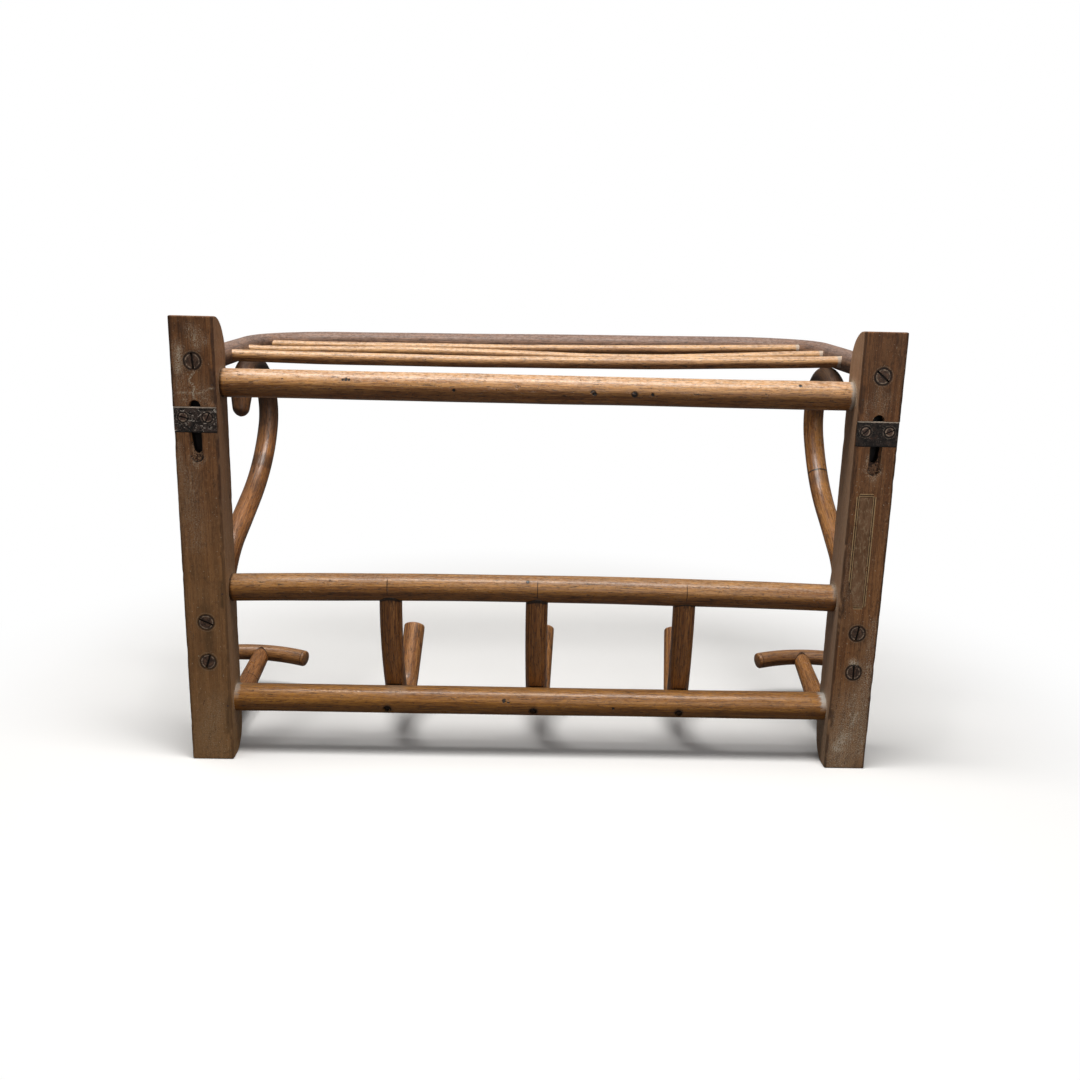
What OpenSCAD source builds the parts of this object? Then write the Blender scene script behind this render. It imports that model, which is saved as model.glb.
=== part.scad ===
// Bentwood wall coat rack: two flat posts, three round rails, a bent hat shelf,
// two scroll brackets that end in T hooks, and three J hooks.
// The wall is the plane y = 0 and the hooks face -Y. Heights in the modules are
// measured from the bottom of the posts; the finished pieces are lowered so that
// the origin lies midway between the lower edges of the two hanging plates.

/* [Posts] */
// Width of the rack over both posts
overall_width = 700; // [560:5:1000]
// Width of a post, seen from the wall
post_width = 42; // [36:1:60]
// Depth of a post, from the wall face to the front face
post_depth = 41; // [38:1:60]
// Height of a post
post_height = 451; // [435:1:600]
// Radius of the top front corner of a post
post_top_radius = 37; // [5:1:37]
// Radius of the bottom front corner of a post
post_bottom_radius = 30; // [5:1:35]
// Chamfer along the long edges of a post
post_edge_chamfer = 1.2; // [0.4:0.1:3]

/* [Rails] */
// Distance from the wall face to the back of the rails
rail_setback = 11; // [8:0.5:13]
// Diameter of the top rail
top_rail_diameter = 28; // [22:0.5:28]
// Height of the axis of the top rail
top_rail_height = 386.5; // [380:0.5:388]
// Diameter of the middle rail
middle_rail_diameter = 28; // [22:0.5:28]
// Height of the axis of the middle rail
middle_rail_height = 178.7; // [172:0.5:190]
// Upward bow of the middle rail at mid span
middle_rail_bow = 4; // [1:0.5:4]
// Diameter of the lower rail
lower_rail_diameter = 29; // [24:0.5:30]
// Height of the axis of the lower rail
lower_rail_height = 59; // [50:1:66]
// Diameter of the turned tenon at each end of a rail
rail_tenon_diameter = 18; // [12:0.5:20]
// Length of the turned tenon
rail_tenon_length = 24; // [12:1:30]

/* [Hat shelf] */
// Height of the axis of the shelf loop
shelf_height = 409; // [404:1:412]
// Reach of the shelf, from the wall to the front of the loop
shelf_reach = 317; // [305:1:380]
// Diameter of the bent rod of the shelf loop
loop_diameter = 24; // [20:0.5:26]
// Distance from the middle of a post inwards to the axis of a loop arm
loop_arm_inset = 0; // [0:0.5:7]
// Bending radius of the two front corners of the loop, at the rod axis
loop_corner_radius = 92; // [60:1:120]
// Distance from the wall to the axis of the rear spindle
rear_spindle_reach = 110; // [95:1:120]
// Distance from the axis of the front spindle to the axis of the loop's front run
front_spindle_gap = 50; // [40:1:60]
// Diameter of the rear spindle
rear_spindle_diameter = 12.5; // [10:0.5:14]
// Diameter of the middle and front spindles
front_spindle_diameter = 11; // [9:0.5:13]
// Depth of the blind sockets that hold the ends of the spindles
spindle_socket_depth = 5; // [3:0.5:8]
// Sag of a spindle at mid span
spindle_sag = 3; // [1:0.5:6]

/* [Scroll brackets] */
// Diameter of the bent rod of a bracket
bracket_diameter = 22; // [18:0.5:24]
// Depth of the flat where a bracket bears on its post
bracket_flat = 1; // [0.4:0.1:2]
// Depth of the saddle where the crown carries the shelf loop
saddle_depth = 1.2; // [0.6:0.1:2.5]
// Radius of the outward bend above the post
bracket_lower_radius = 69; // [50:1:90]
// Angle of the outward bend above the post
bracket_lower_angle = 60; // [50:1:65]
// Length of the straight run between the two bends
bracket_run = 59; // [40:1:75]
// Radius of the long bend that turns the rod upright again
bracket_upper_radius = 188; // [150:1:220]
// Angle of the long bend
bracket_upper_angle = 30; // [20:1:35]
// Radius of the curl under the shelf
curl_radius = 50; // [40:0.5:55]
// Angle of the curl of the right bracket
right_curl_angle = 188; // [160:1:200]
// Angle of the curl of the left bracket
left_curl_angle = 165; // [155:1:200]
// Length of the tapered tip of the right curl
right_curl_tip = 19; // [4:1:30]
// Length of the tapered tip of the left curl
left_curl_tip = 5; // [4:1:30]
// Diameter of the end of the curl
curl_tip_diameter = 16; // [10:0.5:18]
// Inward turn of the right bracket about its upright run
right_bracket_toe = 3.4; // [0:0.2:3.6]
// Inward lean of the right bracket
right_bracket_lean = 1.6; // [0:0.2:1.8]
// Distance from the middle of its post inwards to the right bracket
right_bracket_offset = 2; // [0:0.5:2.5]
// Inward turn of the left bracket about its upright run
left_bracket_toe = 1.2; // [0:0.2:3.6]
// Inward lean of the left bracket
left_bracket_lean = 0.6; // [0:0.2:1.8]
// Distance from the middle of its post inwards to the left bracket
left_bracket_offset = 0; // [0:0.5:2.5]

/* [T hooks] */
// Height at which the rod leaves the post towards the T hook
hook_bend_height = 68; // [60:1:90]
// Radius of the bend of the T hook
t_hook_radius = 45; // [30:1:45]
// Angle of the bend of the T hook
t_hook_angle = 103; // [95:1:120]
// Length of the tapered stem, up to the axis of the crossbar
t_stem_length = 92; // [60:1:110]
// Diameter of the stem at the crossbar
t_stem_end_diameter = 16; // [13:0.5:16]
// Diameter of the crossbar
crossbar_diameter = 16.5; // [13:0.5:20]
// Length of the crossbar
crossbar_length = 106; // [70:1:130]
// Bending radius of the crossbar
crossbar_radius = 110; // [80:1:160]
// Chamfer at the ends of the crossbar and of the J hooks
end_chamfer = 1.6; // [0.5:0.1:3]

/* [J hooks] */
// Diameter of the bent rod of a J hook
hook_diameter = 22; // [18:0.5:24]
// Distance between neighbouring J hooks
hook_spacing = 152; // [110:1:200]
// Sideways offset of the row of J hooks from the middle of the rack
hook_row_offset = -3; // [-10:1:10]
// Sideways swing of the J hooks towards the left post
hook_swing = 5; // [0:0.5:8]
// Depth of the seat where a J hook bears on the lower rail
hook_seat = 2; // [1:0.1:3]
// Outward slope of a J hook where it crosses the lower rail
hook_slope = 24; // [15:1:26]
// Radius of the shallow bend above the lower rail
hook_shallow_radius = 200; // [120:5:200]
// Length of the straight run below the lower rail's seat
hook_run = 9; // [4:1:20]
// Bending radius of the J
hook_radius = 42; // [32:1:48]
// Angle of the J
hook_angle = 116; // [100:1:130]
// Length of the straight flared tip
hook_tip_length = 59; // [30:1:64]
// Diameter of the flared end of the tip
hook_tip_diameter = 23; // [19:0.5:26]
// Diameter of the tenon on top of a J hook
hook_tenon_diameter = 12; // [8:0.5:14]
// Length of that tenon above the axis of the middle rail
hook_tenon_rise = 5; // [2:0.5:8]

/* [Hanging plates] */
// Width of a hanging plate
plate_width = 40.5; // [34:0.5:41]
// Height of a hanging plate
plate_height = 24.5; // [20:0.5:30]
// Thickness of a hanging plate
plate_thickness = 1.8; // [1:0.1:3]
// Distance from the axis of the shelf loop down to the lower edge of a hanging plate
plate_drop = 68; // [65:1:84]
// Distance between the two screws of a plate
plate_screw_spacing = 23.2; // [18.5:0.1:28]
// Distance from the plate's upper edge down to its screws
plate_screw_drop = 10; // [7:0.5:12]
// Width of the slot behind a plate
slot_width = 11.5; // [8:0.5:12]
// Length of the slot, over its round ends
slot_length = 59; // [48:1:64]
// Height of the slot above the upper edge of the plate
slot_show = 6.5; // [4:0.5:8]
// Depth of the slot
slot_depth = 15; // [8:1:18]

/* [Paper label] */
// Width of the blank paper label on the left post
label_width = 19.5; // [12:0.5:24]
// Height of the paper label
label_height = 119; // [60:1:124]
// Thickness of the paper label
label_thickness = 0.2; // [0.2:0.05:0.5]
// Height of the upper edge of the label
label_top_height = 294; // [280:1:300]
// Sideways offset of the label from the middle of the post, towards the rails
label_offset = 4.5; // [0:0.5:6]
// Radius of the notched corners of the label
label_notch = 3; // [1:0.5:4]

/* [Fasteners] */
// Head diameter of the large wood screws
large_head_diameter = 15; // [11:0.5:16]
// Shank diameter of the large wood screws
large_shank_diameter = 6.5; // [4:0.5:7]
// Length of the two screws that hold the shelf loop
loop_screw_length = 66; // [58:1:80]
// Length of the four screws that hold the brackets
bracket_screw_length = 55; // [50:1:56]
// Height of the upper bracket screws
upper_bracket_screw_height = 149; // [140:1:150]
// Height of the lower bracket screws
lower_bracket_screw_height = 107; // [96:1:115]
// Head diameter of the plate screws
plate_head_diameter = 9.5; // [7:0.5:10]
// Shank diameter of the plate screws
plate_shank_diameter = 4; // [3:0.5:5]
// Length of the plate screws
plate_screw_length = 22; // [14:1:30]
// Head diameter of the small screws
small_head_diameter = 8; // [6:0.5:9]
// Shank diameter of the small screws
small_shank_diameter = 4; // [3:0.5:4.5]
// Length of the screws that hold the J hooks to the lower rail
hook_screw_length = 40; // [34:1:42]
// Depth of the counterbore of those screws in the lower rail
hook_screw_sink = 3; // [1:0.5:5]
// Length of the screws that hold the crossbars
crossbar_screw_length = 38; // [28:1:50]
// Length of the screws that hold the curls to the shelf loop
curl_screw_length = 34; // [28:1:38]
// Diameter of the wire pins through the rail tenons
pin_diameter = 2; // [1.4:0.1:3]
// Length of the wire pins
pin_length = 32; // [20:1:38]
// Distance from the inner face of a post to the wire pins
pin_inset = 3.6; // [2.5:0.1:8]

/* [Clearances] */
// Gap between a tenon, rod end or seat and the wood round it
joint_gap = 0.15; // [0.05:0.05:0.3]
// Gap between a screw or pin and its hole
screw_gap = 0.1; // [0.05:0.05:0.2]
// Gap between a hanging plate and the edges of its housing
plate_gap = 0.3; // [0.1:0.1:0.6]

/* [Hidden] */
$fn = 48;

// Colours of the pieces
post_colour = [0.42, 0.29, 0.18];
rail_colour = [0.66, 0.46, 0.25];
loop_colour = [0.5, 0.39, 0.3];
spindle_colour = [0.72, 0.54, 0.34];
bracket_colour = [0.57, 0.38, 0.21];
iron_colour = [0.16, 0.14, 0.13];
screw_colour = [0.3, 0.22, 0.17];
paper_colour = [0.72, 0.58, 0.38];

// Slot directions of the large screws, plate screws and small screws, in degrees
loop_screw_turns = [85, 40];
bracket_screw_turns = [25, -72, -81, 88];
plate_screw_turns = [15, -65, -24, -42];
hook_screw_turns = [20, 75, -30];
crossbar_screw_turn = 40;
curl_screw_turn = 25;

// Sides: right is +X and left is -X, as seen from the front
sides = [1, -1];
overlap = 0.01;
lap = 0.5;
skin = 0.08;
link = 2;
post_middle = overall_width / 2 - post_width / 2;
span = overall_width - 2 * post_width;
rod_play = 0.3;

// Rails
top_rail_reach = rail_setback + top_rail_diameter / 2;
middle_rail_reach = rail_setback + middle_rail_diameter / 2;
lower_rail_reach = rail_setback + lower_rail_diameter / 2;

// Shelf loop
loop_arm = post_middle - loop_arm_inset;
loop_front = shelf_reach - loop_diameter / 2;
loop_corner_reach = loop_front - loop_corner_radius;
loop_corner_side = loop_arm - loop_corner_radius;
front_spindle_reach = loop_front - front_spindle_gap;
middle_spindle_reach = (rear_spindle_reach + front_spindle_reach) / 2;

// Scroll brackets: the rod rises along the post, swings out and curls back.
// Each bend adds its share to the reach and to the height of the crown.
bracket_reach = post_depth + bracket_diameter / 2 - bracket_flat;
bracket_pivot_height = (upper_bracket_screw_height + lower_bracket_screw_height) / 2;
run_heading = 90 - bracket_lower_angle;
curl_heading = run_heading + bracket_upper_angle;
crown_reach = bracket_reach
  + bracket_lower_radius * (1 - cos(bracket_lower_angle))
  + bracket_run * cos(run_heading)
  + bracket_upper_radius * (sin(curl_heading) - sin(run_heading))
  + link * cos(curl_heading)
  - curl_radius * sin(curl_heading);
crown_rise = bracket_lower_radius * sin(bracket_lower_angle)
  + bracket_run * sin(run_heading)
  + bracket_upper_radius * (cos(run_heading) - cos(curl_heading))
  + link * sin(curl_heading)
  + curl_radius * (cos(curl_heading) + 1);
function toe(side) = side > 0 ? right_bracket_toe : left_bracket_toe;
function lean(side) = side > 0 ? right_bracket_lean : left_bracket_lean;
function bracket_offset(side) = side > 0 ? right_bracket_offset : left_bracket_offset;
function curl_angle(side) = side > 0 ? right_curl_angle : left_curl_angle;
function curl_tip(side) = side > 0 ? right_curl_tip : left_curl_tip;

// Sideways distance from the crown to the loop arm above it, and the height of
// the crown at which the two rods share a saddle of the stated depth.
saddle_distance = (bracket_diameter + loop_diameter) / 2 - saddle_depth;
crown_level = shelf_height - saddle_distance;
function crown_offset(side) =
  (crown_reach - bracket_reach) * tan(toe(side))
  + (crown_level - bracket_pivot_height) * tan(lean(side))
  + bracket_offset(side) - loop_arm_inset;
function crown_height(side) =
  shelf_height - sqrt(pow(saddle_distance, 2) - pow(crown_offset(side), 2));
function upright_top(side) = crown_height(side) - crown_rise;

// T hooks
t_stem_heading = t_hook_angle - 90;
crossbar_sweep = 2 * asin(crossbar_length / 2 / crossbar_radius);

// J hooks: the rod passes the lower rail where its slope is square to the seat.
hook_distance = (lower_rail_diameter + hook_diameter) / 2 - hook_seat;
hook_cross_reach = lower_rail_reach + hook_distance * cos(hook_slope);
hook_cross_height = lower_rail_height + hook_distance * sin(hook_slope);
hook_top_reach = hook_cross_reach - hook_shallow_radius * (1 - cos(hook_slope));
hook_bend_top = hook_cross_height + hook_shallow_radius * sin(hook_slope);
hook_top_height = middle_rail_height - middle_rail_diameter / 8;
hook_places = [hook_row_offset + hook_spacing, hook_row_offset, hook_row_offset - hook_spacing];

// Hanging plates and slots
plate_bottom_height = shelf_height - plate_drop;
plate_top_height = plate_bottom_height + plate_height;
plate_screw_height = plate_top_height - plate_screw_drop;
slot_top_height = plate_top_height + slot_show;

// Lowers a piece from post heights to the origin at the hanging plates.
module hung() {
  translate([0, 0, -plate_bottom_height]) children();
}

// Turns a profile drawn as (reach from the wall, height) into the upright plane.
module upright_plane() {
  rotate([90, 0, -90]) children();
}

// A run of rod that laps into the bends before and after it.
module run(length, radius) {
  rotate([-90, 0, 0]) translate([0, 0, -lap]) cylinder(h = length + 2 * lap, r = radius - skin);
}

// A tapered end of a rod with a small chamfer, lapped into the bend before it.
module tapered_end(length, radius, end_radius, chamfer) {
  rotate([-90, 0, 0]) {
    translate([0, 0, -lap]) cylinder(h = length + lap - chamfer, r1 = radius - skin, r2 = end_radius);
    translate([0, 0, length - chamfer]) cylinder(h = chamfer, r1 = end_radius, r2 = end_radius - chamfer);
  }
}

// A rod that follows a chain of runs and bends in one plane. Each step is
// [length] for a run or [radius, angle] for a bend, positive to the left.
module bent_rod(radius, steps, index = 0) {
  if (index < len(steps)) {
    step = steps[index];
    if (len(step) == 1) {
      run(step[0], radius);
      translate([0, step[0], 0]) bent_rod(radius, steps, index + 1);
    } else {
      side = sign(step[1]);
      turn = abs(step[1]);
      translate([-side * step[0], 0, 0])
        rotate([0, 0, side > 0 ? 0 : 180 - turn])
          rotate_extrude(angle = turn, $fn = 144)
            translate([step[0], 0]) circle(r = radius, $fn = 48);
      translate([-side * step[0], 0, 0])
        rotate([0, 0, step[1]])
          translate([side * step[0], 0, 0])
            bent_rod(radius, steps, index + 1);
    }
  }
}

// Moves to the end of a chain of runs and bends.
module at_end_of(steps, index = 0) {
  if (index < len(steps)) {
    step = steps[index];
    if (len(step) == 1) {
      translate([0, step[0], 0]) at_end_of(steps, index + 1) children();
    } else {
      side = sign(step[1]);
      translate([-side * step[0], 0, 0])
        rotate([0, 0, step[1]])
          translate([side * step[0], 0, 0])
            at_end_of(steps, index + 1) children();
    }
  } else {
    children();
  }
}

// A round bar along X whose middle stands off its ends by a bow, up or down.
module bowed_bar(length, diameter, bow) {
  rise = abs(bow);
  bend = (pow(length / 2, 2) + rise * rise) / (2 * rise);
  sweep = 2 * asin((length / 2 + 2) / bend);
  rotate([bow < 0 ? -90 : 90, 0, 0])
    translate([0, rise - bend, 0])
      rotate([0, 0, 90 - sweep / 2])
        rotate_extrude(angle = sweep, $fn = 2880)
          translate([bend, 0]) circle(d = diameter, $fn = 48);
}

// A slotted countersunk wood screw: head at z = 0, point towards +Z.
module wood_screw(head, shank, length, turn) {
  land = 0.6;
  cone = (head - shank) / 2;
  point = 1.6 * shank;
  rotate([0, 0, turn])
    difference() {
      union() {
        cylinder(h = land, d = head);
        translate([0, 0, land]) cylinder(h = cone, d1 = head, d2 = shank);
        translate([0, 0, land + cone]) cylinder(h = length - land - cone - point, d = shank);
        translate([0, 0, length - point]) cylinder(h = point, d1 = shank, d2 = shank / 6);
      }
      translate([-head, -0.055 * head - 0.2, -1]) cube([2 * head, 0.11 * head + 0.4, 1 + 0.14 * head]);
    }
}

// The hole that takes a wood screw, open above its head by the given depth.
module screw_hole(head, shank, length, sink = 1) {
  land = 0.6;
  cone = (head - shank) / 2;
  play = 2 * screw_gap;
  translate([0, 0, -sink]) cylinder(h = sink + land, d = head + play);
  translate([0, 0, land]) cylinder(h = cone, d1 = head + play, d2 = shank + play);
  translate([0, 0, land + cone]) cylinder(h = length - land - cone + screw_gap, d = shank + play);
}

// Places on the wall faces of the posts, looking into the wood.
module into_post(side, x, height) {
  translate([side * x, 0, height]) rotate([90, 0, 0]) children();
}

module loop_screw_places() {
  for (i = [0, 1]) into_post(sides[i], loop_arm, shelf_height) let($turn = loop_screw_turns[i]) children();
}

module bracket_screw_places() {
  for (i = [0, 1]) {
    into_post(sides[i], post_middle, upper_bracket_screw_height)
      let($turn = bracket_screw_turns[2 * i]) children();
    into_post(sides[i], post_middle, lower_bracket_screw_height)
      let($turn = bracket_screw_turns[2 * i + 1]) children();
  }
}

module plate_screw_places() {
  for (i = [0, 1])
    for (j = [0, 1])
      into_post(sides[i], post_middle + (0.5 - j) * plate_screw_spacing, plate_screw_height)
        let($turn = plate_screw_turns[2 * i + j]) children();
}

module pin_places() {
  for (side = sides)
    for (height = [top_rail_height, middle_rail_height, lower_rail_height])
      into_post(side, span / 2 + pin_inset, height) children();
}

// Planes of the bent pieces, with children drawn as (reach, height).
module bracket_plane(side) {
  translate([side * (post_middle - bracket_offset(side)), -bracket_reach, bracket_pivot_height])
    rotate([0, -side * lean(side), -side * toe(side)])
      translate([0, bracket_reach, -bracket_pivot_height])
        upright_plane() children();
}

module hook_plane(place) {
  translate([place, -hook_top_reach, 0])
    rotate([0, 0, -hook_swing])
      translate([0, hook_top_reach, 0])
        upright_plane() children();
}

module hook_screw_places() {
  for (i = [0 : len(hook_places) - 1])
    hook_plane(hook_places[i])
      translate([lower_rail_reach, lower_rail_height, 0])
        rotate([0, 0, hook_slope])
          translate([-lower_rail_diameter / 2 + hook_screw_sink, 0, 0])
            rotate([0, 90, 0])
              let($turn = hook_screw_turns[i]) children();
}

module curl_screw_place(side) {
  shift = crown_offset(side);
  tilt = asin(shift / saddle_distance);
  translate([side * (loop_arm - shift), -crown_reach, crown_height(side)])
    rotate([0, side * tilt, 0])
      translate([0, 0, small_head_diameter / 6 - bracket_diameter / 2])
        children();
}

module at_stem_end(side) {
  bracket_plane(side)
    translate([bracket_reach, hook_bend_height, 0])
      rotate([0, 0, 180])
        at_end_of([[t_hook_radius, t_hook_angle], [t_stem_length]])
          children();
}

module crossbar_screw_place(side) {
  at_stem_end(side)
    translate([0, crossbar_diameter / 2 - small_head_diameter / 10, 0])
      rotate([90, 0, 0]) children();
}

// Posts
module corner_waste(radius) {
  difference() {
    translate([-1, -1]) square(radius + 1);
    translate([radius, radius]) circle(r = radius, $fn = 96);
  }
}

module post_profile() {
  difference() {
    square([post_depth, post_height]);
    translate([post_depth, post_height]) rotate(180) corner_waste(post_top_radius);
    translate([post_depth, 0]) rotate(90) corner_waste(post_bottom_radius);
  }
}

module post_section() {
  chamfer = post_edge_chamfer;
  half = post_width / 2;
  polygon([
    [-half + chamfer, 0], [half - chamfer, 0], [half, -chamfer],
    [half, chamfer - post_depth], [half - chamfer, -post_depth],
    [chamfer - half, -post_depth], [-half, chamfer - post_depth], [-half, -chamfer]
  ]);
}

module hanging_slot() {
  radius = slot_width / 2;
  low = slot_top_height - slot_length + radius;
  high = slot_top_height - radius;
  translate([0, 1, low]) rotate([90, 0, 0]) cylinder(h = slot_depth + 1, r = radius);
  translate([0, 1, high]) rotate([90, 0, 0]) cylinder(h = slot_depth + 1, r = radius);
  translate([-radius, -slot_depth, low]) cube([slot_width, slot_depth + 1, high - low]);
}

module post(side) {
  difference() {
    translate([side * post_middle, 0, 0])
      difference() {
        intersection() {
          translate([post_width / 2, 0, 0])
            upright_plane() linear_extrude(post_width) post_profile();
          linear_extrude(post_height) post_section();
        }
        hanging_slot();
        translate([-post_width, -plate_thickness, plate_bottom_height - plate_gap])
          cube([2 * post_width, 2 * plate_thickness, plate_height + 2 * plate_gap]);
      }
    rail_tenons(top_rail_reach, top_rail_height, joint_gap);
    rail_tenons(middle_rail_reach, middle_rail_height, joint_gap);
    rail_tenons(lower_rail_reach, lower_rail_height, joint_gap);
    loop_screw_places() screw_hole(large_head_diameter, large_shank_diameter, loop_screw_length);
    bracket_screw_places() screw_hole(large_head_diameter, large_shank_diameter, bracket_screw_length);
    plate_screw_places() screw_hole(plate_head_diameter, plate_shank_diameter, plate_screw_length);
    pin_places() pin_hole();
  }
}

module right_post() {
  color(post_colour) hung() post(1);
}

module left_post() {
  color(post_colour) hung()
    difference() {
      post(-1);
      on_left_post() label_bed();
    }
}

// Rails
module rail_tenons(reach, height, gap) {
  for (side = sides)
    translate([side * (span / 2 - overlap), -reach, height])
      rotate([0, side * 90, 0])
        cylinder(h = rail_tenon_length + overlap + gap, d = rail_tenon_diameter + 2 * gap);
}

module straight_rail(diameter, reach, height, gap = 0) {
  translate([-span / 2 - gap, -reach, height])
    rotate([0, 90, 0]) cylinder(h = span + 2 * gap, d = diameter + 2 * gap);
}

module middle_rail_bar(gap = 0) {
  intersection() {
    translate([0, -middle_rail_reach, middle_rail_height])
      bowed_bar(span, middle_rail_diameter + 2 * gap, middle_rail_bow);
    translate([-span / 2, -2 * post_depth, 0]) cube([span, 2 * post_depth, post_height]);
  }
}

module pin_hole() {
  translate([0, 0, -1]) cylinder(h = pin_length + 1 + screw_gap, d = pin_diameter + 2 * screw_gap);
}

module top_rail() {
  color(rail_colour) hung()
    difference() {
      union() {
        straight_rail(top_rail_diameter, top_rail_reach, top_rail_height);
        rail_tenons(top_rail_reach, top_rail_height, 0);
      }
      pin_places() pin_hole();
    }
}

module middle_rail() {
  color(rail_colour) hung()
    difference() {
      union() {
        middle_rail_bar();
        rail_tenons(middle_rail_reach, middle_rail_height, 0);
      }
      for (place = hook_places) hook_tenon(place, joint_gap);
      pin_places() pin_hole();
    }
}

module lower_rail() {
  color(rail_colour) hung()
    difference() {
      union() {
        straight_rail(lower_rail_diameter, lower_rail_reach, lower_rail_height);
        rail_tenons(lower_rail_reach, lower_rail_height, 0);
      }
      hook_screw_places()
        screw_hole(small_head_diameter, small_shank_diameter, hook_screw_length, 2 * hook_screw_sink);
      pin_places() pin_hole();
    }
}

// Hat shelf
loop_arm_run = loop_corner_reach - post_depth - lap;
loop_steps = [
  [loop_arm_run], [loop_corner_radius, 90],
  [2 * loop_corner_side],
  [loop_corner_radius, 90], [loop_arm_run]
];

module loop_rod(gap = 0) {
  translate([-loop_arm, -post_depth - lap, shelf_height])
    rotate([0, 0, 180])
      bent_rod(loop_diameter / 2 + gap, loop_steps);
}

// Half length of a spindle: it ends inside the loop by the depth of its socket.
function spindle_half(reach, diameter) =
  let(
    inner = loop_corner_radius - loop_diameter / 2,
    past = max(0, reach - diameter / 2 - loop_corner_reach)
  )
  loop_corner_side + sqrt(inner * inner - past * past) + spindle_socket_depth;

module spindle(reach, diameter, gap = 0) {
  half = spindle_half(reach, diameter) + gap;
  intersection() {
    translate([0, -reach, shelf_height]) bowed_bar(2 * half, diameter + 2 * gap, -spindle_sag);
    translate([-half, -reach - diameter, shelf_height - 2 * diameter])
      cube([2 * half, 2 * diameter, 4 * diameter]);
  }
}

module shelf_loop() {
  color(loop_colour) hung()
    difference() {
      loop_rod();
      spindle(rear_spindle_reach, rear_spindle_diameter, joint_gap);
      spindle(middle_spindle_reach, front_spindle_diameter, joint_gap);
      spindle(front_spindle_reach, front_spindle_diameter, joint_gap);
      loop_screw_places() screw_hole(large_head_diameter, large_shank_diameter, loop_screw_length);
      for (side = sides)
        curl_screw_place(side) screw_hole(small_head_diameter, small_shank_diameter, curl_screw_length);
    }
}

module rear_spindle() {
  color(spindle_colour) hung() spindle(rear_spindle_reach, rear_spindle_diameter);
}

module middle_spindle() {
  color(spindle_colour) hung() spindle(middle_spindle_reach, front_spindle_diameter);
}

module front_spindle() {
  color(spindle_colour) hung() spindle(front_spindle_reach, front_spindle_diameter);
}

// Scroll brackets: one rod from the curl under the shelf to the stem of the T hook
module bracket_rod(side) {
  radius = bracket_diameter / 2;
  curl = [
    [upright_top(side) - hook_bend_height],
    [bracket_lower_radius, -bracket_lower_angle],
    [bracket_run],
    [bracket_upper_radius, bracket_upper_angle],
    [link],
    [curl_radius, curl_angle(side)]
  ];
  hook = [[t_hook_radius, t_hook_angle]];
  translate([bracket_reach, hook_bend_height, 0]) {
    bent_rod(radius, curl);
    at_end_of(curl)
      tapered_end(curl_tip(side), radius, curl_tip_diameter / 2, end_chamfer);
    rotate([0, 0, 180]) {
      bent_rod(radius, hook);
      at_end_of(hook)
        tapered_end(t_stem_length, radius, t_stem_end_diameter / 2, end_chamfer);
    }
  }
}

module bracket(side) {
  difference() {
    bracket_plane(side) bracket_rod(side);
    translate([side * post_middle - post_width, -post_depth, 0])
      cube([2 * post_width, post_depth, post_height]);
    translate([side * loop_arm, -post_depth, shelf_height])
      rotate([90, 0, 0])
        cylinder(h = loop_corner_reach - post_depth, d = loop_diameter + 2 * joint_gap);
    crossbar_arc(side, joint_gap);
    bracket_screw_places() screw_hole(large_head_diameter, large_shank_diameter, bracket_screw_length);
    curl_screw_place(side) screw_hole(small_head_diameter, small_shank_diameter, curl_screw_length, 3);
    crossbar_screw_place(side)
      screw_hole(small_head_diameter, small_shank_diameter, crossbar_screw_length);
  }
}

module right_bracket() {
  color(bracket_colour) hung() bracket(1);
}

module left_bracket() {
  color(bracket_colour) hung() bracket(-1);
}

// Crossbars: short bars bent so that their ends point back towards the wall
module crossbar_frame(side) {
  at_stem_end(side)
    translate([0, -crossbar_radius, 0])
      rotate([0, 90, 0]) children();
}

module crossbar_arc(side, gap = 0) {
  crossbar_frame(side)
    rotate([0, 0, 90 - crossbar_sweep / 2])
      rotate_extrude(angle = crossbar_sweep, $fn = 180)
        translate([crossbar_radius, 0]) circle(d = crossbar_diameter + 2 * gap);
}

module crossbar(side) {
  difference() {
    union() {
      crossbar_arc(side);
      crossbar_frame(side)
        for (end = sides)
          rotate([0, 0, end * crossbar_sweep / 2])
            translate([0, crossbar_radius, 0])
              rotate([0, 0, end * 90])
                tapered_end(end_chamfer + lap, crossbar_diameter / 2, crossbar_diameter / 2 - skin, end_chamfer);
    }
    crossbar_screw_place(side)
      screw_hole(small_head_diameter, small_shank_diameter, crossbar_screw_length);
  }
}

module right_crossbar() {
  color(bracket_colour) hung() crossbar(1);
}

module left_crossbar() {
  color(bracket_colour) hung() crossbar(-1);
}

// J hooks
module hook_tenon(place, gap = 0) {
  hook_plane(place)
    translate([hook_top_reach, hook_bend_top, 0])
      rotate([-90, 0, 0])
        cylinder(
          h = middle_rail_height + hook_tenon_rise - hook_bend_top + gap,
          d = hook_tenon_diameter + 2 * gap
        );
}

module hook_rod() {
  radius = hook_diameter / 2;
  steps = [
    [hook_top_height - hook_bend_top],
    [hook_shallow_radius, hook_slope],
    [hook_run],
    [hook_radius, hook_angle]
  ];
  translate([hook_top_reach, hook_top_height, 0])
    rotate([0, 0, 180]) {
      bent_rod(radius, steps);
      at_end_of(steps)
        tapered_end(hook_tip_length, radius, hook_tip_diameter / 2, end_chamfer);
    }
}

module hook(place) {
  difference() {
    union() {
      difference() {
        hook_plane(place) hook_rod();
        middle_rail_bar(joint_gap);
      }
      hook_tenon(place);
    }
    straight_rail(lower_rail_diameter, lower_rail_reach, lower_rail_height, joint_gap);
    hook_screw_places()
      screw_hole(small_head_diameter, small_shank_diameter, hook_screw_length);
  }
}

module right_hook() {
  color(bracket_colour) hung() hook(hook_places[0]);
}

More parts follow.
